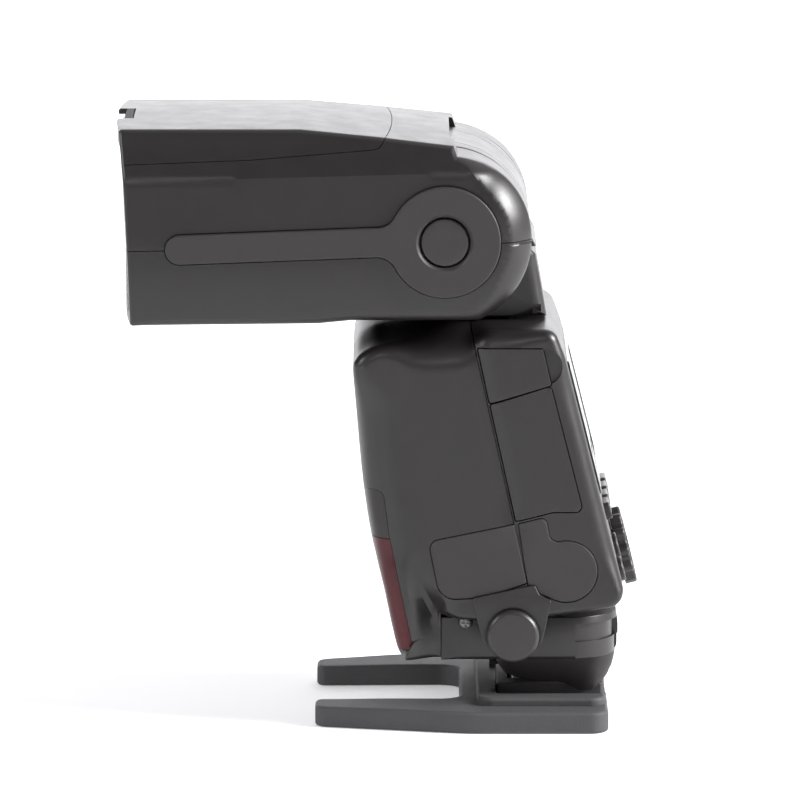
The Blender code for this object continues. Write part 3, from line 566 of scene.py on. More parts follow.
@dataclass
class Slab:
    """A closed form between two skins over one outline, with its edges rounded.

    The skins give the place along the thickness at a point of the outline's plane. A round is a
    radius in millimetres, or a function that gives it at a point; facet flattens it towards a
    chamfer, and calm evens it out along the outline. Grid is the spacing of the points inside the
    skins, and 0 leaves them flat.
    """

    outline: Outline
    low: Skin | float
    high: Skin | float
    low_round: Skin | float = 0.25
    high_round: Skin | float = 0.25
    grid: float = 0.0
    walls: int = 1
    steps: int = 4
    crease: Outline = field(default_factory=list)
    shape: Shape | None = None
    axis: Axis = Axis.Y
    calm: int = 0
    facet: float = 0.0

    def _rounds(self, rule: Skin | float) -> list[float]:
        """The edge radius at each point, evened out along the outline."""
        if not callable(rule):
            return [rule] * len(self.outline)
        radii = [rule(*p) for p in self.outline]
        for _ in range(self.calm):
            radii = [(radii[k - 1] + radii[k] + radii[(k + 1) % len(radii)]) / 3 for k in range(len(radii))]
        return radii

    def _inner(self, ring: Outline) -> Outline:
        """Grid points and crease points well inside a ring."""
        edge = np.array(ring)
        low, high = edge.min(0), edge.max(0)
        a, b = np.meshgrid(np.arange(low[0], high[0], self.grid), np.arange(low[1], high[1], self.grid))
        points = np.stack([a.ravel(), b.ravel()], 1)
        points[:, 0] += (np.round(points[:, 1] / self.grid).astype(int) % 2) * self.grid * 0.5
        crease = np.array(self.crease).reshape(-1, 2)
        if len(crease):
            apart = np.linalg.norm(points[:, None] - crease[None], axis=2).min(1)
            points = np.concatenate([points[apart > self.grid * 0.55], crease])
        after = np.roll(edge, -1, axis=0)
        run = np.where(edge[:, 1] == after[:, 1], 1e-12, after[:, 1] - edge[:, 1])
        spans = (edge[:, 1] > points[:, 1:]) != (after[:, 1] > points[:, 1:])
        across = (after[:, 0] - edge[:, 0]) * (points[:, 1:] - edge[:, 1]) / run + edge[:, 0]
        inside = (spans & (points[:, :1] < across)).sum(1) % 2 == 1
        near = np.linalg.norm(points[:, None] - edge[None], axis=2).min(1)
        return [tuple(p) for p in points[inside & (near > self.grid * 0.45)]]

    def tool(self) -> bmesh.types.BMesh:
        """The form as a bmesh in millimetres."""
        self.outline = clean(self.outline)
        ways = inward(self.outline)
        low = self.low if callable(self.low) else (lambda a, b, level=self.low: level)
        high = self.high if callable(self.high) else (lambda a, b, level=self.high: level)
        made = bmesh.new()
        sides = []
        for skin, rule, sign in ((low, self.low_round, 1.0), (high, self.high_round, -1.0)):
            radii = self._rounds(rule)
            rings = []
            for k in range(self.steps + 1):
                turn, share = math.pi / 2 * k / self.steps, k / self.steps
                inset = (1 - math.cos(turn)) * (1 - self.facet) + share * self.facet
                drop_by = (1 - math.sin(turn)) * (1 - self.facet) + (1 - share) * self.facet
                flat = [Vector(p) + w * r * inset for p, w, r in zip(self.outline, ways, radii)]
                rise = [skin(*p) + sign * r * drop_by for p, r in zip(flat, radii)]
                rings.append([Vector((p.x, p.y, t)) for p, t in zip(flat, rise)])
            sides.append((skin, rings))
        (low_skin, low_rings), (high_skin, high_rings) = sides
        walls = [
            [p.lerp(q, k / self.walls) for p, q in zip(low_rings[0], high_rings[0])] for k in range(1, self.walls)
        ]
        stack = low_rings[::-1] + walls + high_rings
        layers = [[made.verts.new(self._placed(p)) for p in ring] for ring in stack]
        count = len(self.outline)
        for one, two in zip(layers, layers[1:]):
            for k in range(count):
                after = (k + 1) % count
                made.faces.new((one[k], one[after], two[after], two[k]))
        for skin, layer, ring in ((low_skin, layers[0], low_rings[-1]), (high_skin, layers[-1], high_rings[-1])):
            self._cap(made, skin, layer, [(p.x, p.y) for p in ring])
        bmesh.ops.dissolve_degenerate(made, dist=1e-4, edges=made.edges)
        bmesh.ops.recalc_face_normals(made, faces=made.faces)
        return made

    def _placed(self, point: Vector) -> Vector:
        """A point of (outline, outline, thickness) in the object's own axes, after shaping."""
        place = Vector([point[k] for k in self.axis.value])
        return self.shape(place) if self.shape else place

    def _cap(self, made: bmesh.types.BMesh, skin: Skin, layer: list, ring: Outline) -> None:
        """Closes one end of the form."""
        if not self.grid:
            made.faces.new(layer)
            return
        inner = self._inner(ring)
        places = [Vector(p) for p in ring + inner]
        found, _, faces, origin, _, _ = delaunay_2d_cdt(places, [], [list(range(len(ring)))], 1, 1e-6)
        known = layer + [made.verts.new(self._placed(Vector((a, b, skin(a, b))))) for a, b in inner]
        corner = {}
        for index, sources in enumerate(origin):
            if sources:
                corner[index] = known[sources[0]]
            else:
                a, b = found[index]
                corner[index] = made.verts.new(self._placed(Vector((a, b, skin(a, b)))))
                log.warning("an outline crosses itself near %.1f, %.1f", a, b)
        for face in faces:
            if len({corner[k] for k in face}) == len(face):
                made.faces.new([corner[k] for k in face])

    def thing(self, name: str, matrix: Matrix | None = None) -> bpy.types.Object:
        """The form as a scene object."""
        return as_object(name, self.tool(), matrix)


def as_object(name: str, made: bmesh.types.BMesh, matrix: Matrix | None = None) -> bpy.types.Object:
    """A scene object from a bmesh in millimetres, with its place in its mesh.

    Args:
        name: The object's name.
        made: The form, which is freed.
        matrix: A place in metres for a form made in its own axes.

    Returns:
        The object.
    """
    bmesh.ops.scale(made, vec=(MM, MM, MM), verts=made.verts)
    if matrix is not None:
        bmesh.ops.transform(made, matrix=matrix, verts=made.verts)
    mesh = bpy.data.meshes.new(name)
    made.to_mesh(mesh)
    made.free()
    thing = bpy.data.objects.new(name, mesh)
    bpy.context.scene.collection.objects.link(thing)
    return thing


def turned(
    name: str, profile: Sequence[Pair], axis: Axis, centre: Pair, sides: int = 64, matrix: Matrix | None = None
) -> bpy.types.Object:
    """A turned solid.

    Args:
        name: The object's name.
        profile: (radius, place along the axis) rows; an end of radius 0 is a point on the axis.
        axis: The axis it is turned about.
        centre: Where the axis crosses the other two directions.
        sides: Points round it.
        matrix: A place in metres for a form made in its own axes.

    Returns:
        The object.
    """
    made = bmesh.new()
    rings = []
    for radius, level in profile:
        if radius < 1e-6:
            spot = Vector([(*centre, level)[k] for k in axis.value])
            rings.append([made.verts.new(spot)])
            continue
        spots = [Vector([(*p, level)[k] for k in axis.value]) for p in circle(centre, radius, sides)]
        rings.append([made.verts.new(spot) for spot in spots])
    for one, two in zip(rings, rings[1:]):
        for k in range(sides):
            after = (k + 1) % sides
            corners = [one[k % len(one)], one[after % len(one)], two[after % len(two)], two[k % len(two)]]
            made.faces.new(list(dict.fromkeys(corners)))
    for ring in (rings[0], rings[-1]):
        if len(ring) > 1:
            made.faces.new(ring)
    bmesh.ops.recalc_face_normals(made, faces=made.faces)
    return as_object(name, made, matrix)


def cushioned(radius: float, low: float, high: float, edge: float, count: int = 5) -> Outline:
    """A turning profile from a flat back at low to a rounded front edge at high."""
    sign = 1.0 if high > low else -1.0
    bend = arc((0.0, 0.0), edge, 0, 90, count)
    rim = [(radius - edge + a, high - sign * (edge - b)) for a, b in bend]
    return [(0.0, low), (radius, low)] + rim + [(0.0, high)]


def prism(outline: Outline, axis: Axis, low: float, high: float, matrix: Matrix | None = None) -> bpy.types.Object:
    """A sharp-edged cutter."""
    made = bmesh.new()
    layers = []
    for level in (low, high):
        layers.append([made.verts.new(Vector([(*p, level)[k] for k in axis.value])) for p in clean(outline)])
    for k in range(len(layers[0])):
        after = (k + 1) % len(layers[0])
        made.faces.new((layers[0][k], layers[0][after], layers[1][after], layers[1][k]))
    for layer in layers:
        made.faces.new(layer)
    bmesh.ops.recalc_face_normals(made, faces=made.faces)
    return as_object("cutter", made, matrix)


def block(x: Pair, y: Pair, z: Pair) -> bpy.types.Object:
    """A box as a cutter."""
    return prism(rectangle(*x, *y), Axis.Z, *z)


def rod(axis: Axis, centre: Pair, radius: float, low: float, high: float, sides: int = 96) -> bpy.types.Object:
    """A round cutter."""
    return prism(circle(centre, radius, sides), axis, low, high)


def evaluated(thing: bpy.types.Object) -> None:
    """Turns an object's modifiers into its plain mesh."""
    graph = bpy.context.evaluated_depsgraph_get()
    mesh = bpy.data.meshes.new_from_object(thing.evaluated_get(graph))
    thing.modifiers.clear()
    thing.data = mesh


def carve(thing: bpy.types.Object, cut: Cut, *tools: bpy.types.Object, spare: bool = False) -> bpy.types.Object:
    """Applies tools to a form.

    Args:
        thing: The form, whose mesh is replaced.
        cut: What each tool does.
        tools: The tools.
        spare: Whether the tools are wanted again.

    Returns:
        The same form.
    """
    for tool in tools:
        modifier = thing.modifiers.new("tool", "BOOLEAN")
        modifier.operation = cut.value
        modifier.object = tool
        modifier.solver = "EXACT"
    evaluated(thing)
    if not spare:
        for tool in tools:
            bpy.data.objects.remove(tool, do_unlink=True)
    return thing


def copied(thing: bpy.types.Object, name: str) -> bpy.types.Object:
    """A copy of a form with its own mesh."""
    twin = bpy.data.objects.new(name, thing.data.copy())
    bpy.context.scene.collection.objects.link(twin)
    return twin


def drop(*things: bpy.types.Object) -> None:
    """Removes helpers."""
    for thing in things:
        bpy.data.objects.remove(thing, do_unlink=True)


def joined(name: str, *things: bpy.types.Object) -> bpy.types.Object:
    """One object that holds the meshes of several, as separate shells."""
    made = bmesh.new()
    for thing in things:
        made.from_mesh(thing.data)
    drop(*things)
    mesh = bpy.data.meshes.new(name)
    made.to_mesh(mesh)
    made.free()
    whole = bpy.data.objects.new(name, mesh)
    bpy.context.scene.collection.objects.link(whole)
    return whole


def issue(
    thing: bpy.types.Object, finish: str, body: str, slot: Slot, *nodes: str, angle: float = 30.0
) -> bpy.types.Object:
    """Finishes a piece: soft shading, its material, and its place in the frame.

    Args:
        thing: The piece, in place.
        finish: The name of its finish.
        body: The CAD body that it moves with.
        slot: Not used.
        nodes: The CAD nodes that it stands for.
        angle: The turn between faces, in degrees, over which an edge stays sharp.

    Returns:
        The piece.
    """
    mesh = thing.data
    mesh.materials.clear()
    mesh.materials.append(paint(finish))
    mesh.shade_smooth()
    mesh.set_sharp_from_angle(angle=math.radians(angle))
    modifier = thing.modifiers.new("even_shading", "WEIGHTED_NORMAL")
    modifier.keep_sharp = True
    evaluated(thing)
    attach(thing, body)
    if nodes:
        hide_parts(*nodes)
    log.info("%s: %d faces on %s", thing.name, len(thing.data.polygons), body)
    return thing


# ---------------------------------------------------------------- geometry node trees


def new_tree(name: str, sizes: Sequence[tuple[str, str]]) -> bpy.types.NodeTree:
    """A geometry node tree with named inputs.

    Args:
        name: The tree's name.
        sizes: (input name, socket type) rows, after the geometry.

    Returns:
        The tree, with its group input and output nodes.
    """
    tree = bpy.data.node_groups.new(name, "GeometryNodeTree")
    tree.interface.new_socket("Geometry", in_out="INPUT", socket_type="NodeSocketGeometry")
    for label, kind in sizes:
        tree.interface.new_socket(label, in_out="INPUT", socket_type=kind)
    tree.interface.new_socket("Geometry", in_out="OUTPUT", socket_type="NodeSocketGeometry")
    tree.nodes.new("NodeGroupInput")
    tree.nodes.new("NodeGroupOutput")
    return tree


def link(
    tree: bpy.types.NodeTree, source: bpy.types.Node, out: int | str, target: bpy.types.Node, into: int | str
) -> None:
    """Links two nodes of a tree."""
    tree.links.new(source.outputs[out], target.inputs[into])


def end_tree(tree: bpy.types.NodeTree, last: bpy.types.Node, out: int | str, finish: str) -> None:
    """Ends a tree in Realize Instances and Set Material."""
    real = tree.nodes.new("GeometryNodeRealizeInstances")
    dress = tree.nodes.new("GeometryNodeSetMaterial")
    dress.inputs["Material"].default_value = paint(finish)
    link(tree, last, out, real, 0)
    link(tree, real, 0, dress, 0)
    link(tree, dress, 0, tree.nodes["Group Output"], 0)


def grow(thing: bpy.types.Object, tree: bpy.types.NodeTree, values: dict[str, object]) -> bpy.types.Object:
    """Runs a tree on an object and keeps the result as its plain mesh.

    Args:
        thing: The object.
        tree: The tree.
        values: The tree's inputs by name.

    Returns:
        The same object.
    """
    modifier = thing.modifiers.new("tree", "NODES")
    modifier.node_group = tree
    sockets = {s.name: s.identifier for s in tree.interface.items_tree if s.in_out == "INPUT"}
    for label, value in values.items():
        modifier[sockets[label]] = value
    evaluated(thing)
    return thing


def copies_tree(finish: str) -> bpy.types.NodeTree:
    """Copies of the object's own mesh, each a step and a turn on from the last."""
    tree = new_tree(
        f"copies_{finish}", [("Count", "NodeSocketInt"), ("Step", "NodeSocketVector"), ("Turn", "NodeSocketVector")]
    )
    source = tree.nodes["Group Input"]
    points = tree.nodes.new("GeometryNodePoints")
    index = tree.nodes.new("GeometryNodeInputIndex")
    away = tree.nodes.new("ShaderNodeVectorMath")
    away.operation = "SCALE"
    spin = tree.nodes.new("ShaderNodeVectorMath")
    spin.operation = "SCALE"
    onto = tree.nodes.new("GeometryNodeInstanceOnPoints")
    link(tree, source, "Count", points, "Count")
    link(tree, source, "Step", away, 0)
    link(tree, index, 0, away, "Scale")
    link(tree, source, "Turn", spin, 0)
    link(tree, index, 0, spin, "Scale")
    link(tree, away, 0, points, "Position")
    link(tree, points, 0, onto, "Points")
    link(tree, source, 0, onto, "Instance")
    link(tree, spin, 0, onto, "Rotation")
    end_tree(tree, onto, 0, finish)
    return tree


def copies(
    thing: bpy.types.Object,
    finish: str,
    count: int,
    step: tuple[float, float, float] = (0.0, 0.0, 0.0),
    turn: tuple[float, float, float] = (0.0, 0.0, 0.0),
    place: Matrix | None = None,
) -> bpy.types.Object:
    """Repeats a small form made round the origin, then puts the row or ring in place.

    Args:
        thing: The form.
        finish: The finish of the copies.
        count: How many there are.
        step: The way from one to the next, in millimetres.
        turn: The turn from one to the next about the origin, in degrees.
        place: Where the whole goes, in metres.

    Returns:
        The same object.
    """
    way = [s * MM for s in step]
    angles = [math.radians(t) for t in turn]
    grow(thing, copies_tree(finish), {"Count": count, "Step": way, "Turn": angles})
    if place is not None:
        thing.data.transform(place)
    return thing


def coil_tree(finish: str) -> bpy.types.NodeTree:
    """A round wire wound on a cone or cylinder about Z."""
    rows = ["Bottom Radius", "Top Radius", "Height", "Turns", "Wire"]
    tree = new_tree(f"coil_{finish}", [(row, "NodeSocketFloat") for row in rows])
    source = tree.nodes["Group Input"]
    spiral = tree.nodes.new("GeometryNodeCurveSpiral")
    spiral.inputs["Resolution"].default_value = 22
    wire = tree.nodes.new("GeometryNodeCurvePrimitiveCircle")
    wire.inputs["Resolution"].default_value = 8
    skin = tree.nodes.new("GeometryNodeCurveToMesh")
    skin.inputs["Fill Caps"].default_value = True
    link(tree, source, "Bottom Radius", spiral, "Start Radius")
    link(tree, source, "Top Radius", spiral, "End Radius")
    link(tree, source, "Height", spiral, "Height")
    link(tree, source, "Turns", spiral, "Rotations")
    link(tree, source, "Wire", wire, "Radius")
    link(tree, spiral, 0, skin, "Curve")
    link(tree, wire, 0, skin, "Profile Curve")
    end_tree(tree, skin, 0, finish)
    return tree


def coil(
    name: str, finish: str, radii: Pair, height: float, turns: float, wire: float, place: Matrix
) -> bpy.types.Object:
    """A spring or a thread's crest.

    Args:
        name: The object's name.
        finish: Its finish.
        radii: The radius of the winding at its bottom and top, in millimetres.
        height: Its height.
        turns: The number of turns.
        wire: The wire's radius.
        place: Where it goes, in metres.

    Returns:
        The object.
    """
    thing = as_object(name, bmesh.new())
    sizes = (radii[0] * MM, radii[1] * MM, height * MM, turns, wire * MM)
    grow(thing, coil_tree(finish), dict(zip(("Bottom Radius", "Top Radius", "Height", "Turns", "Wire"), sizes)))
    thing.data.transform(place)
    return thing


# ---------------------------------------------------------------- shared places


GAP = 0.3
SPLIT = 0.2
PIVOT = (16.24, 118.7)
SEAM = ((22.4, 97.3), (36.2, 35.1))
REAR = ((45.1, 90.1), (59.9, 31.2))
DIAL_HEIGHT = 38.6
LOCK_AXIS = (42.0, 0.0)
SIDE_FACE = 36.0


def on_line(line: tuple[Pair, Pair], height: float) -> float:
    """X on a line through two (x, z) points, at a height."""
    (x0, z0), (x1, z1) = line
    return x0 + (x1 - x0) * (height - z0) / (z1 - z0)


LEAN = math.atan2(REAR[1][0] - REAR[0][0], REAR[0][1] - REAR[1][1])
REAR_FRAME = Matrix.Translation(Vector((on_line(REAR, DIAL_HEIGHT), 0, DIAL_HEIGHT)) * MM) @ Matrix.Rotation(
    -LEAN, 4, "Y"
)


def up_slope(height: float) -> float:
    """Distance up the rear panel from the dial's centre to a height."""
    return (height - DIAL_HEIGHT) / math.cos(LEAN)


def at(x: float, y: float, z: float) -> Matrix:
    """A place in millimetres."""
    return Matrix.Translation(Vector((x, y, z)) * MM)


# ---------------------------------------------------------------- main body


@dataclass
class Casing:
    """The main body: front and rear casings, its windows, and what is set in its side."""

    half: float = SIDE_FACE
    wall: float = 2.2
    top: float = 97.2
    valley: float = 0.9
    front_line: tuple[Pair, ...] = (
        (16.0, 97.2),
        (8.0, 96.7),
        (1.0, 95.6),
        (-2.8, 94.0),
        (-5.0, 91.6),
        (-5.7, 88.0),
        (-4.8, 75.0),
        (-3.4, 59.9),
        (-1.4, 46.5),
        (1.5, 34.4),
        (3.7, 24.0),
        (5.2, 18.6),
        (6.9, 17.0),
    )
    chin_rear: float = 15.45
    shoulder: tuple[Pair, ...] = (
        (15.45, 27.6),
        (20.0, 27.0),
        (26.0, 26.8),
        (36.0, 27.2),
        (45.0, 28.2),
        (52.0, 29.2),
    )

    def front_at(self, z: float) -> float:
        """X of the front face at a height."""
        return table(z, [(z0, x0) for x0, z0 in reversed(self.front_line)])

    def skin(self, x: float, z: float) -> float:
        """Half the width of the body at a place on its side."""
        ahead = (on_line(SEAM, z) - x) * 0.976
        depth = self.valley * stepped(z, 42.0, 58.0)
        if ahead >= 0:
            groove = depth * max(0.0, 1 - ahead / 3.3)
        else:
            groove = depth * 1.35 * max(0.0, 1 + ahead / 3.1)
        below = -0.835 * (x - 14.8) - 0.549 * (z - 35.4)
        scoop = stepped(below, 0.0, 6.0) * stepped(x, 6.5, 15.0) * 5.6
        line = x - self.front_at(z)
        crease = 0.16 * math.exp(-(((line - 11.2) / 1.3) ** 2)) * stepped(z, 44.0, 60.0) * stepped(-z, -90.0, -80.0)
        return self.half - groove - scoop - crease

    def round_of(self, x: float, z: float) -> float:
        """The radius of the casing's edge at a place on its outline."""
        if z < 17.4:
            return 1.2
        if abs(x - self.chin_rear) < 0.4 and z < 27.4:
            return 0.2
        if x < self.front_at(z) + 3.0 and z < 91.0:
            return (9.8 - 6.4 * stepped(z, 76.0, 88.0)) if z > 40 else 7.0
        if z > 91.0:
            rise = 5.0 * stepped(x, 2.0, 9.0) - 3.4 * stepped(x, 19.5, 25.5) - 2.2 * stepped(x, 33.0, 38.0)
            return 3.4 + rise
        if z < 33.0:
            return 1.6
        return 4.6 - 1.6 * stepped(z, 84.0, 90.0) - 1.8 * stepped(-z, -42.0, -36.0)

    def shape(self, place: Vector) -> Vector:
        """Crowns the top, which drops towards its edges."""
        drop_by = 2.1 * stepped(abs(place.y), 13.0, 30.0) * stepped(place.z, 82.0, 95.0)
        drop_by *= stepped(24.5 - place.x, -2.0, 3.0)
        return Vector((place.x, place.y, place.z - drop_by))

    def outline(self) -> Outline:
        """The side outline of both casings together."""
        line = eased(self.front_line, 7) + [(13.6, 16.8), (self.chin_rear, 16.8)] + eased(self.shoulder, 5)
        rear = [
            (*self.shoulder[-1], 0),
            (60.1, 30.4, 4.2),
            (*REAR[0], 14.0),
            (42.4, self.top, 3.6),
            (30.0, self.top, 0),
        ]
        line += rounded(rear, 8)[1:]
        return spaced(line, 1.6)

    def whole(self) -> bpy.types.Object:
        """Both casings as one solid."""
        heights = np.arange(50.0, 90.0, 1.5)
        crease = [(on_line(SEAM, z) + away, z) for z in heights for away in (-3.4, 0.0, 3.3)]
        crease += [(self.front_at(z) + d, z) for z in heights for d in (9.6, 11.2, 12.8)]
        return Slab(
            self.outline(),
            lambda x, z: -self.skin(x, z),
            self.skin,
            self.round_of,
            self.round_of,
            grid=1.7,
            walls=14,
            steps=8,
            calm=5,
            crease=crease,
            shape=self.shape,
        ).thing("casings")

    def hollows(self) -> list[bpy.types.Object]:
        """The rooms inside both casings: a narrow one near the front and the top, and a wide one."""
        front = [(self.front_at(z) + self.wall + 0.2, z) for z in (90.0, 75.0, 60.0, 46.0, 34.0, 24.0, 19.6)]
        line = [(39.0, 93.4), (3.0, 93.4)] + front + [(12.6, 19.6), (12.6, 31.6), (56.2, 31.6), (42.0, 90.0)]
        inset = [(self.front_at(z) + 10.5, z) for z in (86.0, 75.0, 60.0, 46.0, 40.0)]
        wide = inset + [(20.0, 34.0), (50.5, 34.0), (41.8, 78.0), (38.5, 86.0)]
        return [prism(line, Axis.Y, -26.5, 26.5), prism(wide, Axis.Y, -33.4, 33.4)]

    def side_of(self, ahead: bool) -> bpy.types.Object:
        """A cutter that covers what is ahead of the seam, or behind it."""
        shift, far = (-SPLIT / 2, -40.0) if ahead else (SPLIT / 2, 90.0)
        seam = [(on_line(SEAM, z) + shift, z) for z in (5.0, 110.0)]
        return prism(seam + [(far, 110.0), (far, 5.0)], Axis.Y, -60, 60)

    def build(self) -> None:
        """Builds and dresses the casings and the two windows."""
        hollows = self.hollows()
        front = self.whole()
        rear = copied(front, "rear_casing")
        front.name = "front_casing"
        carve(front, Cut.KEEP, self.side_of(True))
        carve(rear, Cut.KEEP, self.side_of(False))
        rooms = []
        for name, finish, slot, node, line in (
            ("red_glow_window", "red", Slot.RED, "red_window",
             [(-12.0, 19.4, 0), (8.7, 19.4, 1.5), (3.1, 46.3, 0.2), (-12.0, 46.3, 0)]),
            ("smoked_sensor_window", "sensor", Slot.SENSOR, "sensor_window",
             [(-12.0, 46.5, 0), (3.0, 46.5, 0.2), (1.5, 58.2, 2.0), (-12.0, 58.2, 0)]),
        ):
            pane = copied(front, name)
            carve(pane, Cut.KEEP, prism(rounded(line), Axis.Y, -60, 60))
            carve(pane, Cut.TAKE, *hollows, spare=True)
            issue(pane, finish, "flash_body", slot, node)
            rooms.append(prism(shifted(rounded(line), -0.09), Axis.Y, -60, 60))
        covers = SideCovers()
        spindle = rod(Axis.Z, (20.4, 0), 12.0, 80, 110)
        rooms += [covers.power_room(), rod(Axis.Y, covers.power_socket, 6.3, -50, -30, 40)]
        carve(front, Cut.TAKE, *hollows, spindle, spare=True)
        carve(front, Cut.TAKE, *rooms)
        issue(front, "shell", "flash_body", Slot.SHELL, "front_shell")
        panel = RearPanel()
        carve(rear, Cut.TAKE, *hollows, spindle)
        carve(rear, Cut.TAKE, *covers.rear_rooms(), *panel.rooms())
        issue(rear, "shell", "flash_body", Slot.SHELL, "rear_shell")
        covers.build(self)
        panel.build()


@dataclass
class SideCovers:
    """What is set in the -Y side: battery door, latch, rubber socket covers and the bracket tab."""

    floor: float = -34.7
    power_socket: Pair = (24.6, 41.0)
    sync_socket: Pair = (45.1, 38.8)
    bulb: Pair = (45.4, 38.8)
    bulb_radius: float = 7.4
    plug: Pair = (32.6, 23.6)
    door: tuple[tuple[float, float, float], ...] = (
        (27.0, 79.0, 0.45),
        (41.6, 83.7, 1.0),
        (49.4, 53.2, 1.5),
        (42.2, 53.2, 0.5),
        (33.2, 50.9, 0.45),
    )
    latch: tuple[tuple[float, float, float], ...] = (
        (24.0, 92.7, 0.45),
        (39.6, 92.7, 0.5),
        (41.7, 83.9, 0.45),
        (26.85, 79.35, 0.45),
    )
    power: tuple[tuple[float, float, float], ...] = (
        (12.4, 46.0, 2.2),
        (32.9, 50.2, 0.3),
        (35.95, 36.0, 0.5),
        (30.0, 33.9, 2.0),
        (22.6, 32.3, 6.0),
        (15.2, 32.0, 4.4),
    )
    tab: tuple[tuple[float, float, float], ...] = (
        (22.7, 32.4, 0.5),
        (37.8, 35.7, 1.0),
        (38.9, 33.4, 0.6),
        (41.8, 31.8, 0.6),
        (39.3, 20.4, 3.0),
        (25.7, 20.4, 3.0),
    )

    def power_room(self) -> bpy.types.Object:
        """The pocket for the front rubber cover."""
        return prism(shifted(rounded(self.power, 8), -0.22), Axis.Y, -50, self.floor)

    def bulb_outline(self, grow_by: float = 0.0) -> Outline:
        """The bulb-shaped cover: a round end with a tail up to the seam."""
        left = [(36.2, 35.5, 0.2), (35.1, 42.0, 1.0), (33.9, 50.35, 0.3), (40.4, 51.95, 1.5), (41.4, 46.7, 1.4)]
        round_end = [(a, b, 0) for a, b in arc(self.bulb, self.bulb_radius, 106, -112, 40)]
        line = rounded(left + round_end + [(38.9, 33.4, 0.8), (37.8, 35.2, 0.6)], 8)
        return shifted(line, -grow_by) if grow_by else line

    def rear_rooms(self) -> list[bpy.types.Object]:
        """The pockets cut in the rear casing."""
        rooms = [
            prism(shifted(rounded(self.door), -0.2), Axis.Y, -50, -30),
            prism(shifted(rounded(self.latch), -0.2), Axis.Y, -50, -30),
            prism(arc((40.0, 88.3), 4.35, -66, 86, 20) + [(35.0, 91.6), (35.4, 85.0)], Axis.Y, -45, -34.8),
            prism(self.bulb_outline(0.22), Axis.Y, -50, self.floor),
            rod(Axis.Y, self.sync_socket, 3.9, -50, -30, 40),
        ]
        return rooms

    def panel(
        self, name: str, outline: Outline, casing: Casing, proud: float, back: float, edge: float
    ) -> bpy.types.Object:
        """A cover whose face follows the casing's side."""
        return Slab(
            spaced(outline, 1.6),
            lambda x, z: -casing.skin(x, z) - proud,
            back,
            edge,
            0.15,
            grid=1.7,
            steps=4,
        ).thing(name)

    def build(self, casing: Casing) -> None:
        """Builds and dresses the covers and the sockets under them."""
        door = self.panel("battery_door_skin", rounded(self.door, 8), casing, 0.0, -33.9, 0.2)
        issue(door, "shell", "battery_door", Slot.SHELL, "battery_door")
        latch = self.panel("door_latch_skin", rounded(self.latch, 8), casing, 0.0, -33.9, 0.2)
        issue(latch, "shell", "door_latch", Slot.SHELL, "door_latch")
        power = self.panel("power_socket_cover", rounded(self.power, 7), casing, 0.15, -35.0, 0.3)
        issue(power, "cover", "power_cover", Slot.COVER, "power_cover")
        sync = self.panel("sync_socket_cover", self.bulb_outline(), casing, 0.15, -35.0, 0.3)
        issue(sync, "cover", "sync_cover", Slot.COVER, "sync_cover")
        self.build_sockets()
        self.build_bracket()

    def build_sockets(self) -> None:
        """The two sockets that the rubber covers hide."""
        ring = [(6.0, -27.0), (6.0, -34.6), (5.2, -34.6), (5.2, -31.0), (0.0, -31.0)]
        power = turned("power_socket_ring", [(0.0, -27.0)] + ring, Axis.Y, self.power_socket, 48)
        issue(power, "inner", "flash_body", Slot.INNER, "power_socket")
        pin = turned("power_socket_pin", cushioned(0.9, -31.4, -34.0, 0.4), Axis.Y, (0, 0), 20)
        place = at(self.power_socket[0], 0, self.power_socket[1])
        pin.data.transform(at(1.9, 0, 0))
        copies(pin, "gold", 3, turn=(0, 120, 0), place=place)
        issue(pin, "gold", "flash_body", Slot.BRASS)
        profile = [(0.0, -27.0), (3.6, -27.0), (3.6, -34.2), (3.3, -34.6), (2.9, -34.6), (2.9, -30.0), (0.9, -30.0),
                   (0.9, -33.6), (0.6, -34.0), (0.0, -34.0)]
        sync = turned("sync_socket_barrel", profile, Axis.Y, self.sync_socket, 48)
        issue(sync, "turned", "flash_body", Slot.STEEL, "sync_socket")

    def build_bracket(self) -> None:
        """The bracket tab with its bush and plug."""
        tab = Slab(
            spaced(rounded(self.tab, 7), 1.6),
            lambda x, z: -37.2 + 0.3 * stepped(z, 30.0, 35.0),
            lambda x, z: -35.5 if z > 26.5 else -31.0,
            0.22,
            0.2,
            grid=1.8,
            steps=4,
        ).thing("bracket_tab")
        carve(tab, Cut.TAKE, rod(Axis.Y, self.plug, 6.7, -50, -36.75, 72), rod(Axis.Y, self.plug, 3.9, -50, -20, 48))
        issue(tab, "shell", "flash_body", Slot.COVER, "bracket_mount")
        bush = [(2.6, -30.4), (3.6, -30.4), (3.6, -36.6), (2.9, -36.6), (2.6, -36.3)]
        ring = turned("bracket_brass_bush", bush + [bush[0]], Axis.Y, self.plug, 48)
        bmesh_weld(ring)
        issue(ring, "brass", "flash_body", Slot.BRASS, "bracket_bush")
        face = [(0.0, -31.5), (2.2, -31.5), (2.2, -37.3), (6.0, -37.3), (6.2, -37.5), (6.2, -39.0), (5.95, -39.45),
                (5.5, -39.8), (5.2, -39.9), (0.0, -39.9)]
        plug = turned("bracket_plug_cap", face, Axis.Y, self.plug, 96)
        issue(plug, "button", "bracket_plug", Slot.BUTTON, "bracket_plug", angle=24)
        profile = [(0.0, -29.8), (1.7, -29.8), (1.7, -30.6), (1.45, -31.1), (0.9, -31.45), (0.0, -31.6)]
        screw = turned("casing_screw", profile, Axis.Y, (21.3, 25.6), 32)
        slot = block((20.3, 22.3), (-40, -31.0), (25.35, 25.85))
        carve(screw, Cut.TAKE, slot, block((21.05, 21.55), (-40, -31.0), (24.6, 26.6)))
        issue(screw, "dark", "flash_body", Slot.STEEL)


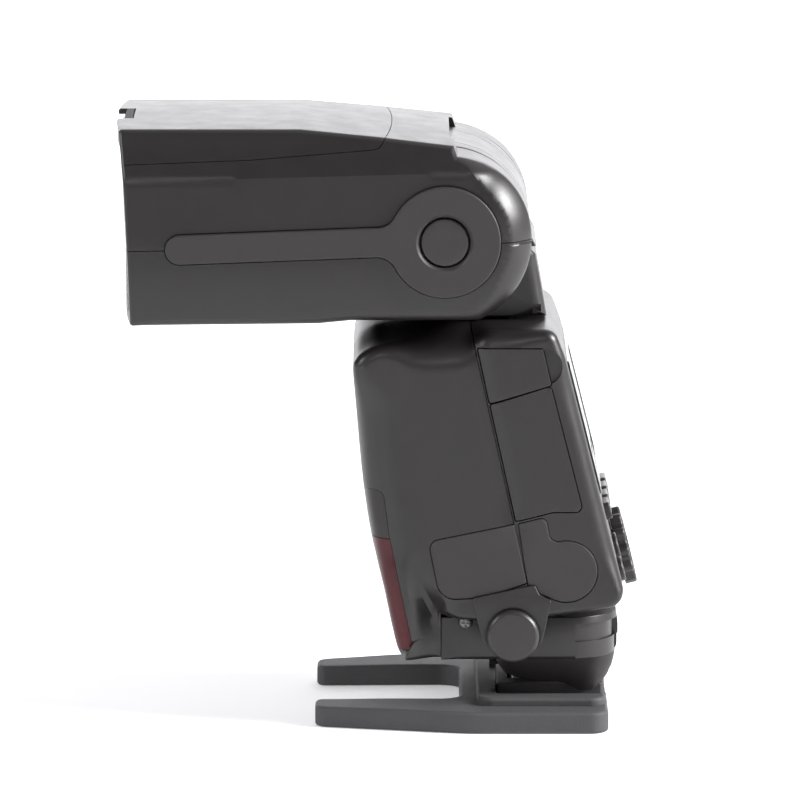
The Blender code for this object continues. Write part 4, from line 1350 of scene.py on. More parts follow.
def bmesh_weld(thing: bpy.types.Object) -> None:
    """Merges doubled points and faces the mesh outwards."""
    made = bmesh.new()
    made.from_mesh(thing.data)
    inner = [f for f in made.faces if len(f.verts) > 20]
    bmesh.ops.delete(made, geom=inner, context="FACES_ONLY")
    bmesh.ops.remove_doubles(made, verts=made.verts, dist=1e-6)
    bmesh.ops.recalc_face_normals(made, faces=made.faces)
    made.to_mesh(thing.data)
    made.free()


@dataclass
class RearPanel:
    """The display, buttons, dial and switch on the sloping rear face, in that face's own axes."""

    half: float = 30.0
    low: float = up_slope(56.3)
    high: float = up_slope(88.5)
    press_row: float = up_slope(51.0)

    def hole(self, outline: Outline, depth: float) -> bpy.types.Object:
        """A pocket in the rear face."""
        return prism(outline, Axis.X, depth, 8.0, REAR_FRAME)

    def rooms(self) -> list[bpy.types.Object]:
        """Everything cut in the rear casing for the controls."""
        rooms = [self.hole(rectangle(-30.3, 30.3, self.low - GAP, self.high + GAP, 3.3), -1.0)]
        for index in range(4):
            middle = -18.0 + 12.0 * index
            row = self.press_row
            rooms.append(self.hole(rectangle(middle - 4.75, middle + 4.75, row - 2.35, row + 2.35, 1.2), -6.0))
        for y, z, radius in self.round_buttons().values():
            rooms.append(self.hole(circle((y, z), radius + 0.25, 40), -6.0))
        rooms.append(self.hole(circle((0, 0), 4.7, 48), -1.6))
        switch = up_slope(35.5)
        rooms.append(self.hole(rectangle(16.9, 27.6, switch - 1.8, switch + 1.8, 1.0), -1.7))
        return rooms

    def round_buttons(self) -> dict[str, tuple[float, float, float]]:
        """Place and radius of each round button."""
        return {
            "mode_button": (-16.5, up_slope(41.5), 3.4),
            "wireless_button": (16.5, up_slope(41.5), 3.4),
            "pilot_button": (-25.0, up_slope(37.5), 3.0),
        }

    def key(self, name: str, outline: Outline, rise: float, dish: float) -> bpy.types.Object:
        """A button with a rounded rim and a slightly dished face."""
        points = np.array(outline)
        middle, reach = points.mean(0), np.ptp(points, axis=0).max() / 2
        return Slab(
            spaced(outline, 0.6),
            -1.5,
            lambda a, b: rise - dish * max(0.0, 1 - (math.dist((a, b), middle) / reach) ** 2),
            0.1,
            0.45,
            grid=0.6,
            steps=4,
            axis=Axis.X,
        ).thing(name, REAR_FRAME)

    def build(self) -> None:
        """Builds and dresses the panel and every control."""
        outline = rectangle(-self.half, self.half, self.low, self.high, 3.0)
        panel = Slab(outline, -0.7, 0.5, 0.1, 0.35, axis=Axis.X).thing("control_bezel", REAR_FRAME)
        glass_low, glass_high = up_slope(60.0), up_slope(86.0)
        carve(panel, Cut.TAKE, self.hole(rectangle(-22.2, 22.2, glass_low - 0.2, glass_high + 0.2, 1.7), -6.0))
        issue(panel, "panel", "flash_body", Slot.SENSOR, "control_panel")
        glass = rectangle(-22, 22, glass_low, glass_high, 1.5)
        screen = Slab(glass, -0.7, 0.28, 0.1, 0.15, axis=Axis.X).thing("display_screen", REAR_FRAME)
        issue(screen, "screen", "flash_body", Slot.DISPLAY, "display_glass")
        self.build_segments()
        for index in range(4):
            middle, row = -18.0 + 12.0 * index, self.press_row
            outline = rectangle(middle - 4.5, middle + 4.5, row - 2.1, row + 2.1, 1.0)
            node = f"function_button_{index + 1}"
            issue(self.key(f"soft_key_{index + 1}", outline, 1.5, 0.25), "button", node, Slot.BUTTON, node)
        for name, (y, z, radius) in self.round_buttons().items():
            key = self.key(f"{name}_cap", circle((y, z), radius, 40), 1.1, 0.2)
            issue(key, "button", name, Slot.BUTTON, name)
        self.build_dial()
        self.build_switch()
        self.build_prints()

    def build_segments(self) -> None:
        """Plain bars and boxes on the screen, with no lettering."""
        level = 0.30
        mark = rectangle(-0.45, 0.45, 0.0, 2.6, 0.2)
        bars = [Slab(mark, 0.22, level, 0.02, 0.02, axis=Axis.X).thing("zoom_scale_bars")]
        scale = copies(bars[0], "mark", 14, step=(0.0, 2.6, 0.0), place=REAR_FRAME @ at(0, -17.0, up_slope(62.0)))
        issue(scale, "mark", "flash_body", Slot.SENSOR)
        frames = []
        for low_y, high_y, low_z, high_z in (
            (-19.5, -6.0, 76.5, 83.5),
            (-3.5, 19.5, 70.0, 83.5),
            (-19.5, -6.0, 68.0, 74.0),
        ):
            outer = rectangle(low_y, high_y, up_slope(low_z), up_slope(high_z), 0.8)
            box = Slab(outer, 0.22, level, 0.02, 0.02, axis=Axis.X).thing("box", REAR_FRAME)
            inner = rectangle(low_y + 0.5, high_y - 0.5, up_slope(low_z) + 0.5, up_slope(high_z) - 0.5, 0.4)
            carve(box, Cut.TAKE, prism(inner, Axis.X, -1, 2, REAR_FRAME))
            frames.append(box)
        issue(joined("screen_frames", *frames), "mark", "flash_body", Slot.SENSOR)

    def build_dial(self) -> None:
        """The lobed selector wheel with a dished face, and the button in its middle."""
        lobes = 12
        line = []
        for k in range(lobes * 10):
            turn = 2 * math.pi * k / (lobes * 10)
            wave = math.cos(lobes * turn)
            radius = 8.95 + 0.65 * math.copysign(abs(wave) ** 0.6, wave)
            line.append((radius * math.cos(turn), radius * math.sin(turn)))
        wheel = Slab(line, GAP, 3.2, 0.12, 0.6, axis=Axis.X, steps=4).thing("selector_wheel", REAR_FRAME)
        hollow = [(0.0, 1.5), (5.2, 1.5), (6.9, 2.7), (6.9, 5.0), (0.0, 5.0)]
        dish = turned("dish", hollow, Axis.X, (0, 0), 72, REAR_FRAME)
        carve(wheel, Cut.TAKE, prism(circle((0, 0), 4.6, 72), Axis.X, -5, 6, REAR_FRAME), dish)
        issue(wheel, "button", "select_dial", Slot.BUTTON, "select_dial")
        cap = [(0.0, -0.3), (4.3, -0.3), (4.3, 1.5), (4.1, 1.85), (3.7, 2.0), (2.6, 1.9), (0.0, 1.8)]
        middle = turned("set_key", cap, Axis.X, (0, 0), 56, REAR_FRAME)
        issue(middle, "button", "set_button", Slot.BUTTON, "set_button")

    def build_switch(self) -> None:
        """The ribbed slider that switches the flash on."""
        height = up_slope(35.5)
        slider = Slab(rectangle(17.2, 21.8, height - 1.5, height + 1.5, 0.8), -1.2, 0.9, 0.1, 0.3, axis=Axis.X)
        base = slider.thing("slider_base", REAR_FRAME)
        rib = Slab(rectangle(-0.22, 0.22, -1.1, 1.1, 0.15), 0.6, 1.4, 0.02, 0.12, axis=Axis.X).thing("slider_ribs")
        copies(rib, "button", 5, step=(0, 0.8, 0), place=REAR_FRAME @ at(0, 17.9, height))
        issue(joined("power_slider", base, rib), "button", "power_switch", Slot.BUTTON, "power_switch")

    def build_prints(self) -> None:
        """Small printed marks beside the keys: plain dots."""
        dot = Slab(circle((0, 0), 0.45, 20), -0.05, 0.03, 0.01, 0.01, axis=Axis.X).thing("key_marks")
        copies(dot, "ink", 4, step=(0, 12.0, 0), place=REAR_FRAME @ at(0, -18.0, up_slope(54.6)))
        issue(dot, "ink", "flash_body", Slot.BUTTON)


# ---------------------------------------------------------------- pedestal, foot and skirt


@dataclass
class Pedestal:
    """The block under the body, the metal foot with its contacts, the lock and the rubber skirt."""

    low: float = 16.2
    high: float = 26.6
    half: float = 30.0
    rear: float = 57.7

    def build(self) -> None:
        """Builds and dresses everything below the shoulder."""
        plan = rounded([(15.4, -30, 0.25), (self.rear, -30, 13.0), (self.rear, 30, 13.0), (15.4, 30, 0.25)], 6)
        block_form = Slab(
            spaced(plan, 2.0),
            self.low,
            self.high,
            lambda x, y: 0.2 + 0.8 * stepped(x, 16.0, 19.0),
            0.2,
            axis=Axis.Z,
            steps=4,
            walls=9,
            shape=self.bulge,
        ).thing("pedestal_block")
        fan = [LOCK_AXIS, (64.0, -22.0), (64.0, 22.0)]
        tools = [rod(Axis.Z, LOCK_AXIS, 13.0, 10, 20.2), prism(fan, Axis.Z, 10, 20.2)]
        for side in (-1, 1):
            for low, high, depth in ((14.0, 20.4, 0.35), (20.4, 24.9, 0.9)):
                near, far = sorted((side * 16.0, side * 40.0))
                recess = block((47.7, 70), (near, far), (low, high))
                tools.append(carve(recess, Cut.TAKE, prism(shifted(plan, depth), Axis.Z, 10, 30)))
        carve(block_form, Cut.TAKE, *tools)
        issue(block_form, "shell", "flash_body", Slot.SHELL, "pedestal")
        self.build_skirt()
        self.build_foot()
        self.build_lever()

    def bulge(self, place: Vector) -> Vector:
        """Swells the sides a little at mid height."""
        swell = 0.55 * max(0.0, 1 - ((place.z - 21.5) / 5.3) ** 2) * stepped(place.x, 15.5, 24.0)
        out = Vector((max(0.0, place.x - 44.7) / 13.0, place.y / 30.0, 0.0))
        return place + out * swell

    def ring(self, share: float) -> Outline:
        """A level section of the skirt, which swells towards its lower lip at the rear."""
        front = 28.4 + 2.6 * (1 - share) ** 1.5
        rear = 57.6 - 2.4 * (1 - share)
        half = 19.9 - 5.0 * (1 - share) ** 1.3
        return spaced(rounded([(front, -half, 5), (rear, -half, 6), (rear, half, 6), (front, half, 5)], 8), 2.0)

    def skirt_level(self, share: float, x: float, y: float) -> float:
        """Height of the skirt: its lip rises at the front and hangs in a lobe at each rear corner."""
        lobe = 2.3 * stepped(x, 44.0, 50.0) * stepped(abs(y), 12.9, 14.3)
        return 8.0 + 7.8 * share + (1.6 * stepped(-x, -40.0, -29.0) - lobe) * (1 - share)

    def build_skirt(self) -> None:
        """The soft rubber skirt that seals the foot in the shoe."""
        made = bmesh.new()
        stack = []
        levels = [0.0, 0.06, 0.2, 0.4, 0.6, 0.8, 0.94, 1.0]
        for share in levels:
            puff = 0.35 * math.sin(math.pi * share)
            ring = shifted(self.ring(share), -puff)
            stack.append([(x, y, self.skirt_level(share, x, y)) for x, y in ring])
        for share in reversed(levels[:-1]):
            outer = self.ring(share)
            levels_in = [self.skirt_level(share, x, y) + 0.1 * (1 - share) for x, y in clean(outer)]
            stack.append([(x, y, z) for (x, y), z in zip(shifted(outer, 1.1), levels_in)])
        layers = [[made.verts.new(p) for p in ring] for ring in stack]
        count = len(layers[0])
        for one, two in zip(layers, layers[1:] + layers[:1]):
            for k in range(count):
                after = (k + 1) % count
                made.faces.new((one[k], one[after], two[after], two[k]))
        bmesh.ops.recalc_face_normals(made, faces=made.faces)
        issue(as_object("rubber_skirt", made), "cover", "flash_body", Slot.COVER, "weather_skirt", angle=40)

    def build_foot(self) -> None:
        """The steel foot, its stem and spring contacts, and the locking pin."""
        plate = Slab(rectangle(32.0, 50.0, -9.3, 9.3, 0.8), 3.4, 5.4, 0.25, 0.25, axis=Axis.Z).thing("foot_plate")
        stem = Slab(rectangle(32.6, 49.6, -6.0, 6.0, 0.6), 3.9, 9.0, 0.1, 0.1, axis=Axis.Z).thing("stem")
        flange = Slab(rectangle(33.5, 51.0, -11.0, 11.0, 3.0), 8.4, 11.0, 0.3, 0.3, axis=Axis.Z).thing("flange")
        post = [(0.0, 10.0), (6.8, 10.0), (6.8, 19.9), (0.0, 19.9)]
        carve(plate, Cut.JOIN, stem, flange, turned("post", post, Axis.Z, LOCK_AXIS, 48))
        carve(plate, Cut.TAKE, rod(Axis.Z, (34.5, 0), 1.3, 0, 15, 24))
        issue(plate, "steel", "flash_body", Slot.STEEL, "foot")
        tip = [(0.0, 3.6), (0.9, 3.6), (0.9, 3.3), (0.55, 3.14), (0.0, 3.1)]
        contact = turned("foot_contacts", tip, Axis.Z, (0, 0), 24)
        copies(contact, "gold", 3, step=(0, 4.2, 0), place=at(44.5, -4.2, 0))
        issue(contact, "gold", "flash_body", Slot.BRASS)
        wide_tip = [(0.0, 3.6), (1.3, 3.6), (1.3, 3.3), (0.8, 3.14), (0.0, 3.1)]
        centre = turned("centre_contact", wide_tip, Axis.Z, (40.0, 0), 32)
        issue(centre, "gold", "flash_body", Slot.BRASS)
        profile = [(0.0, 9.5), (1.0, 9.5), (1.0, 4.1), (0.7, 3.6), (0.0, 3.5)]
        pin = turned("locking_pin", profile, Axis.Z, (34.5, 0), 28)
        issue(pin, "turned", "lock_pin", Slot.STEEL, "lock_pin")

    def build_lever(self) -> None:
        """The lever ring that drives the locking pin, with a ribbed thumb pad."""
        aim = math.radians(-20.0)
        reach, side = Vector((math.cos(aim), math.sin(aim))), Vector((-math.sin(aim), math.cos(aim)))
        ring = Slab(circle(LOCK_AXIS, 12.5, 96), 16.6, 19.7, 0.3, 0.3, axis=Axis.Z).thing("lock_lever_ring")
        ends = ((9.0, -3.5, 0.1), (15.0, -5.0, 0.9), (15.0, 5.0, 0.9), (9.0, 3.5, 0.1))
        arm = [(*(Vector(LOCK_AXIS) + reach * a + side * b), r) for a, b, r in ends]
        carve(ring, Cut.JOIN, Slab(rounded(arm), 16.6, 19.7, 0.4, 0.4, axis=Axis.Z).thing("arm"))
        carve(ring, Cut.TAKE, rod(Axis.Z, LOCK_AXIS, 7.2, 10, 25))
        rib = Slab(rectangle(-0.3, 0.3, -0.35, 0.35, 0.15), 16.9, 19.4, 0.05, 0.05, axis=Axis.Z).thing("rib")
        place = at(*LOCK_AXIS, 0) @ Matrix.Rotation(aim, 4, "Z") @ at(15.0, -3.6, 0)
        copies(rib, "button", 7, step=(0, 1.2, 0), place=place)
        whole = joined("lock_lever_skin", ring, rib)
        issue(whole, "button", "lock_lever", Slot.BUTTON, "lock_lever")


# ---------------------------------------------------------------- stand


@dataclass
class Stand:
    """The moulded table stand: a plate with two legs, a raised shoe and a brass insert."""

    thickness: float = 5.2
    slot_half: float = 21.5
    tip_half: float = 31.0
    half: float = 40.0

    def outline(self) -> Outline:
        """The plate's outline, with rounded tips and a rounded fork."""
        half = [
            (20.0, self.slot_half, 5.0),
            (-14.9, self.slot_half - 0.8, 2.2),
            (-14.9, self.tip_half, 3.6),
            (22.0, self.half, 26.0),
            (55.6, self.half, 4.5),
        ]
        other = [(x, -y, r) for x, y, r in reversed(half)]
        return rounded(half + other, 7)

    def ramp(self, x: float, y: float) -> float:
        """The plate's top: the legs thin a little towards their tips."""
        return self.thickness - 0.25 * stepped(-x, -6.0, 14.0)

    def build(self) -> None:
        """Builds and dresses the stand."""
        fork = spaced(self.outline(), 2.5)
        plate = Slab(fork, 0.0, self.ramp, 0.7, 0.9, grid=3.0, axis=Axis.Z, steps=5).thing("stand_fork")
        raised = rectangle(24.0, 55.2, -32.0, 32.0, 4.0)
        plateau = Slab(raised, 1.0, 7.2, 0.1, 0.9, axis=Axis.Z, steps=5).thing("plateau")
        carve(plate, Cut.JOIN, plateau)
        room = rounded([(27.5, -26, 2.5), (62, -26, 0), (62, 26, 0), (27.5, 26, 2.5)])
        carve(plate, Cut.TAKE, prism(room, Axis.Z, 4.2, 12))
        rails = Slab(rectangle(29.0, 55.0, -12.5, 12.5, 1.0), 3.4, 7.2, 0.1, 0.35, axis=Axis.Z).thing("rails")
        carve(plate, Cut.JOIN, rails)
        channel, mouth = 9.6, 6.4
        carve(
            plate,
            Cut.TAKE,
            block((31.6, 62), (-channel, channel), (3.1, 5.7)),
            block((31.6, 62), (-mouth, mouth), (3.1, 12)),
            rod(Axis.Z, LOCK_AXIS, 5.0, -1, 5, 48),
            rod(Axis.Z, (34.5, 0), 1.5, 1.8, 5, 24),
        )
        issue(plate, "stand", "stand", Slot.STAND, "stand_base")
        profile = [(3.2, 0.3), (4.4, 0.3), (4.7, 0.6), (4.7, 2.6), (4.4, 2.9), (3.2, 2.9)]
        ring = turned("thread_insert", profile + [profile[0]], Axis.Z, LOCK_AXIS, 64)
        bmesh_weld(ring)
        thread = coil("thread", "brass", (3.2, 3.2), 2.2, 1.75, 0.22, at(*LOCK_AXIS, 0.5))
        issue(joined("brass_insert", ring, thread), "brass", "stand", Slot.BRASS, "stand_insert")


# ---------------------------------------------------------------- neck


@dataclass
class Neck:
    """The swivelling neck between the body and the head."""

    half: float = 18.9
    radius: float = 20.7

    def round_of(self, x: float, z: float) -> float:
        """The radius of the frame's edge: soft on the rear block, tight elsewhere."""
        return 3.2 if x > 36.0 and z < 113.5 else 0.5

    def build(self) -> None:
        """Builds and dresses the neck's frame, its drum cover, axle and spindle."""
        low, core = 97.9, self.radius - 1.7
        line = [(1.5, low), (40.9, low), (38.2, 113.0)] + arc(PIVOT, core, -8, 188, 60) + [(-1.6, 110.0)]
        core_form = Slab(spaced(line, 1.5), -self.half, self.half, self.round_of, self.round_of, calm=3, steps=6)
        frame_form = core_form.thing("neck_core")
        seat = prism([(34.0, 114.7), (45.0, 114.7), (45.0, 125.0), (34.9, 125.0)], Axis.Y, -50, 50)
        carve(frame_form, Cut.TAKE, seat, rod(Axis.Y, PIVOT, 3.3, -50, 50, 40))
        issue(frame_form, "shell", "neck", Slot.SHELL, "neck_frame")
        skin = arc(PIVOT, self.radius, -3, 160, 72) + arc(PIVOT, core + GAP, 160, -3, 72)
        skin += [(PIVOT[0] + core + GAP, 115.0), (38.4, 115.0)]
        drum = Slab(skin, -self.half, self.half, 0.5, 0.5).thing("drum_cover")
        ring_cuts = []
        for y in (-11.5, 11.5):
            hoop = rod(Axis.Y, PIVOT, 24.0, y - 0.15, y + 0.15)
            carve(hoop, Cut.TAKE, rod(Axis.Y, PIVOT, self.radius - 0.4, y - 3, y + 3))
            ring_cuts.append(hoop)
        carve(drum, Cut.TAKE, *ring_cuts)
        issue(drum, "shell", "neck", Slot.TRIM, "neck_cover")
        axle = [(0.0, -33.5), (2.6, -33.5), (3.0, -33.1), (3.0, 33.1), (2.6, 33.5), (0.0, 33.5)]
        issue(turned("axle", axle, Axis.Y, PIVOT, 48), "turned", "neck", Slot.STEEL, "tilt_axle")
        spindle = [(0.0, 87.2), (13.3, 87.2), (13.6, 87.5), (13.6, 89.6), (11.7, 89.6), (11.7, 97.6), (0.0, 97.6)]
        issue(turned("spindle", spindle, Axis.Z, (20.4, 0), 72), "inner", "neck", Slot.INNER, "swivel_spindle")
        bush = [(12.0, 90.0), (14.7, 90.0), (15.0, 90.3), (15.0, 94.7), (12.0, 94.7)]
        ring = turned("swivel_ring", bush + [bush[0]], Axis.Z, (20.4, 0), 72)
        bmesh_weld(ring)
        issue(ring, "inner", "flash_body", Slot.INNER, "swivel_bush")


# ---------------------------------------------------------------- head


@dataclass
class Head:
    """The lamp head: upper and lower casings, top insert, side trims, lens and pull-out panels."""

    half: float = 38.6
    top: float = 145.3
    floor: float = 98.3
    cheek: float = 20.7
    bow: float = 2.15
    lean: float = 0.045
    front: float = -62.75
    insert: tuple[Pair, ...] = (
        (-64.0, 136.6),
        (-30.0, 137.9),
        (-0.6, 140.2),
        (0.6, 140.6),
        (1.3, 141.6),
        (2.0, 143.2),
        (2.6, 150.0),
    )

    def front_at(self, z: float) -> float:
        """X of the front edge in the middle plane, at a height."""
        return self.front + self.lean * (self.top - z)

    def seam_at(self, x: float) -> float:
        """Height of the seam between the casings."""
        return 116.4 + (x + 62.0) * 0.023

    def ridge_at(self, x: float) -> float:
        """Height of the ridge along the side."""
        return table(x, ((-63.0, 133.0), (-20.0, 134.2), (14.0, 135.2), (40.0, 135.4)))

    def skin(self, x: float, z: float) -> float:
        """Half the width of the head at a place on its side."""
        ridge = self.ridge_at(x)
        reach = math.dist((x, z), PIVOT)
        upper = 37.7 - 7.0 * max(0.0, z - ridge) / (self.top - ridge)
        middle = 38.6 - 0.9 * max(0.0, z - 118.0) / (ridge - 118.0)
        flat = min(upper, middle) if z > ridge else middle
        if x > PIVOT[0] and z > 118.0:
            around = stepped(math.atan2(x - PIVOT[0], z - 118.0), 0.35, 1.1)
            ring = 38.6 - 1.1 * stepped(reach, 13.5, 21.0)
            flat = flat * (1 - around) + ring * around
        return flat - 1.5 * (max(0.0, 114.0 - z) / 16.5) ** 2

    def round_of(self, x: float, z: float) -> float:
        """The radius of the casing's edge at a place on its outline."""
        if x < -50 and abs(x - self.front_at(z)) < 1.2:
            return 0.6
        turn = math.degrees(math.atan2(z - PIVOT[1], x - PIVOT[0]))
        if x > PIVOT[0] and math.dist((x, z), PIVOT) > self.cheek - 0.5:
            if z > 118.7:
                return 5.2 - 4.2 * stepped(turn, 50.0, 84.0)
            return 5.2 - 2.6 * stepped(-turn, 20.0, 75.0)
        if z > 139.0:
            return 0.9
        return 1.8

    def shape(self, place: Vector) -> Vector:
        """Bows the front edge and the top, and the line where the top insert ends."""
        share = (place.y / self.half) ** 2
        x = place.x + self.bow * share * stepped(-place.x, 46.0, 61.0)
        z = place.z - 1.0 * share * stepped(place.z, 132.0, 143.5)
        return Vector((x, place.y, z))

    def bow_back(self, place: Vector) -> Vector:
        """Bows the rear edge of the top insert."""
        share = min(1.0, (place.y / 34.0) ** 2)
        return place + Vector((1.6 * (1 - share) * stepped(place.z, 139.5, 142.5) * stepped(place.x, -6.0, 0.0), 0, 0))

    def slab(self, name: str, outline: Outline, walls: int = 26) -> bpy.types.Object:
        """A casing over an outline, still solid."""
        ridge = [(x, self.ridge_at(x)) for x in np.arange(-61.0, 12.0, 1.4)]
        return Slab(
            spaced(outline, 1.5),
            lambda x, z: -self.skin(x, z),
            self.skin,
            self.round_of,
            self.round_of,
            grid=1.7,
            walls=walls,
            steps=7,
            calm=4,
            crease=ridge,
            shape=self.shape,
        ).thing(name)

    def outline(self) -> Outline:
        """The side outline of the head."""
        line = [(self.front_at(144.9), 144.9), (self.front_at(98.7), 98.7), (self.front_at(98.3) + 0.5, 98.3)]
        line += [(-14.0, 98.8), (-6.0, 99.6)] + arc(PIVOT, self.cheek, -67, 82, 120)
        line += [(18.3, 141.7), (0.4, 143.66), (-18.2, 145.3), (self.front + 0.6, 145.3)]
        return spaced(line, 1.5)

    def split(self, gap: float) -> list[bpy.types.Object]:
        """Cutters that cover the upper casing, the lower casing and the top insert."""
        low = [(-80.0, self.seam_at(-80.0)), (60.0, self.seam_at(60.0))]
        seam = [(-80.0, 136.0)] + list(self.insert[1:])
        lower = prism([(x, z - gap) for x, z in low] + [(60.0, 60.0), (-80.0, 60.0)], Axis.Y, -60, 60)
        above = [(x - gap * 0.7, z + gap * 0.7) for x, z in seam]
        below = [(x + gap * 0.7, z - gap * 0.7) for x, z in seam]
        over = above + [(-80.0, 150.0)]
        tools = [Slab(over, -60, 60, 0.0, 0.0, walls=40, steps=1, shape=self.bow_back).thing("above")]
        outline = below + [(60.0, 150.0)] + [(x, z + gap) for x, z in reversed(low)]
        tools.append(Slab(outline, -60, 60, 0.0, 0.0, walls=40, steps=1, shape=self.bow_back).thing("middle"))
        return [tools[1], lower, tools[0]]

    def build(self) -> None:
        """Builds and dresses the head."""
        ridge = [(x, self.ridge_at(x)) for x in np.arange(-61.0, 12.0, 1.4)]
        whole = Slab(
            self.outline(),
            lambda x, z: -self.skin(x, z),
            self.skin,
            self.round_of,
            self.round_of,
            grid=1.7,
            walls=26,
            steps=7,
            calm=4,
            facet=0.55,
            crease=ridge,
            shape=self.shape,
        ).thing("upper_casing")
        lower, insert = copied(whole, "lower_casing"), copied(whole, "top_insert_skin")
        for form, tool in zip((whole, lower, insert), self.split(0.1)):
            carve(form, Cut.KEEP, tool)
        self.hollow_out(whole, lower, insert)
        issue(whole, "shell", "head", Slot.SHELL, "head_upper_shell")
        issue(lower, "shell", "head", Slot.SHELL, "head_lower_shell")
        issue(insert, "shell", "head", Slot.TRIM, "top_insert")
        self.build_trims()
        self.build_front()

    def hollow_out(self, upper: bpy.types.Object, lower: bpy.types.Object, insert: bpy.types.Object) -> None:
        """Cuts the lamp chamber, the neck's pocket and the panels' slot."""
        section = [(-35.2, 101.3), (35.2, 101.3), (35.2, 133.0), (31.2, 140.6), (-31.2, 140.6), (-35.2, 133.0)]
        chamber = prism(section, Axis.X, -80, -9.0)
        pocket = rod(Axis.Y, PIVOT, 21.2, -19.3, 19.3, 160)
        under = block((-5.3, 60), (-19.3, 19.3), (90, PIVOT[1]))
        behind = block((17.4, 60), (-19.3, 19.3), (110, 150))
        bore = rod(Axis.Y, PIVOT, 3.3, -33.8, 33.8, 40)
        room = rod(Axis.Y, PIVOT, 6.4, -50, -35.3, 64)
        recesses = [
            prism(self.paddle(0.28), Axis.Y, *sorted((side * 37.6, side * 50))) for side in (-1, 1)
        ]
        common = (chamber, pocket, under, behind, bore, room, *recesses)
        carve(upper, Cut.TAKE, *common, spare=True)
        carve(lower, Cut.TAKE, *common, spare=True)
        slot = block((-80, -10), (-30.3, 30.3), (141.4, 143.9))
        notch = block((-80, -58.4), (-12.3, 6.3), (141.4, 150))
        carve(insert, Cut.TAKE, chamber, slot, notch, spare=True)
        drop(*common, slot, notch)

    def paddle(self, grow_by: float) -> Outline:
        """The trim's outline: a disc about the pivot with an arm towards the front."""
        disc, arm, blend = 13.3, 3.5, 5.0
        rise = arm + blend
        run = math.sqrt((disc + blend) ** 2 - rise**2)
        slope = math.degrees(math.atan2(rise, run))
        lower_centre = (PIVOT[0] - run, PIVOT[1] - rise)
        upper_centre = (PIVOT[0] - run, PIVOT[1] + rise)
        line = arc(PIVOT, disc, 180 - slope, slope - 180, 72)
        line += arc(lower_centre, blend, slope, 90, 10)[1:]
        nose = (-50.3 + arm, 116.9)
        line += arc(nose, arm, 268, 92, 22)
        line += arc(upper_centre, blend, 270, 360 - slope, 10)[:-1]
        return shifted(line, -grow_by) if grow_by else line

    def build_trims(self) -> None:
        """The paddle trims and the release button on the -Y side."""
        for side, name in ((-1.0, "left"), (1.0, "right")):
            back, face = side * 37.9, side * 39.7
            low, high = min(back, face), max(back, face)
            trim = Slab(spaced(self.paddle(0.0), 2.0), low, high, 0.15 if side > 0 else 0.4, 0.4 if side > 0 else 0.15,
                        grid=2.4).thing(f"paddle_trim_{name}")
            if side < 0:
                hole = [(0.0, -30.0), (6.05, -30.0), (6.05, -38.95), (6.9, -39.75), (6.9, -45.0), (0.0, -45.0)]
                bore = turned("bore", hole,
                              Axis.Y, PIVOT, 96)
                carve(trim, Cut.TAKE, bore)
            issue(trim, "trim", "head", Slot.TRIM, f"side_trim_{name}")
        profile = [(0.0, -37.1), (5.8, -37.1), (5.8, -38.7), (5.72, -39.0), (5.5, -39.28), (5.15, -39.42), (3.0, -39.38),
                   (0.0, -39.34)]
        button = turned("release_button", profile, Axis.Y, PIVOT, 96)
        issue(button, "button", "bounce_button", Slot.BUTTON, "bounce_button")

    def build_front(self) -> None:
        """The ribbed lens, the wide panel, and the catchlight card with its ribbed tab."""
        line = [
            (self.front_at(140.0) + 0.55, 140.2),
            (self.front_at(125.0) + 0.3, 125.0),
            (self.front_at(101.8) - 0.55, 101.7),
        ]
        line += [(self.front_at(101.8) + 2.0, 101.7), (self.front_at(140.0) + 3.2, 140.2)]
        lens = Slab(spaced(line, 1.6), -34.8, 34.8, 0.5, 0.5, walls=26, shape=self.shape).thing("fresnel_window")
        section = [(-34.9, 101.4), (34.9, 101.4), (34.9, 132.8), (30.9, 140.4), (-30.9, 140.4), (-34.9, 132.8)]
        carve(lens, Cut.KEEP, prism(section, Axis.X, -80, -40))
        rib = bmesh.new()
        count = 26
        rows = []
        for k in range(count + 1):
            y = -33.5 + 67.0 * k / count
            bowed = self.bow * (y / self.half) ** 2
            rows.append([rib.verts.new((bowed + a, y, b)) for a, b in ((0.0, 0.0), (0.75, 0.05), (0.0, 0.85))])
        for one, two in zip(rows, rows[1:]):
            for k in range(3):
                rib.faces.new((one[k], one[(k + 1) % 3], two[(k + 1) % 3], two[k]))
        rib.faces.new(rows[0])
        rib.faces.new(rows[-1])
        bmesh.ops.recalc_face_normals(rib, faces=rib.faces)
        ribs = as_object("fresnel_ribs", rib)
        copies(ribs, "lens", 40, step=(-0.0427, 0, 0.93), place=at(self.front_at(101.8) + 1.9, 0, 102.4))
        issue(lens, "lens", "head", Slot.LENS, "fresnel_lens")
        issue(ribs, "lens", "head", Slot.LENS)
        sheet = rectangle(-61.2, -12, -30, 30, 1.2)
        wide = Slab(sheet, 141.7, 142.6, 0.15, 0.15, axis=Axis.Z).thing("wide_angle_panel")
        issue(wide, "lens", "wide_panel", Slot.LENS, "wide_panel")
        card = Slab(rectangle(-61.2, -20, -30, 30, 1.2), 142.9, 143.6, 0.15, 0.15, axis=Axis.Z).thing("bounce_card")
        issue(card, "white", "catchlight_panel", Slot.MIRROR, "catchlight_panel")
        tab = Slab(rectangle(-60.6, -58.7, -12, 6, 0.3), 143.4, 144.9, 0.1, 0.2, axis=Axis.Z).thing("tab")
        ribs_on = Slab(rectangle(-0.3, 0.3, -0.95, 0.95, 0.2), 144.6, 145.25, 0.05, 0.15, axis=Axis.Z).thing("ribs")
        ribs_on.data.transform(Matrix.Rotation(math.radians(90), 4, "Z"))
        copies(ribs_on, "button", 12, step=(0, 1.55, 0), place=at(-59.65, -11.5, 0))
        issue(joined("card_tab", tab, ribs_on), "button", "catchlight_panel", Slot.BUTTON)


# ---------------------------------------------------------------- inside parts


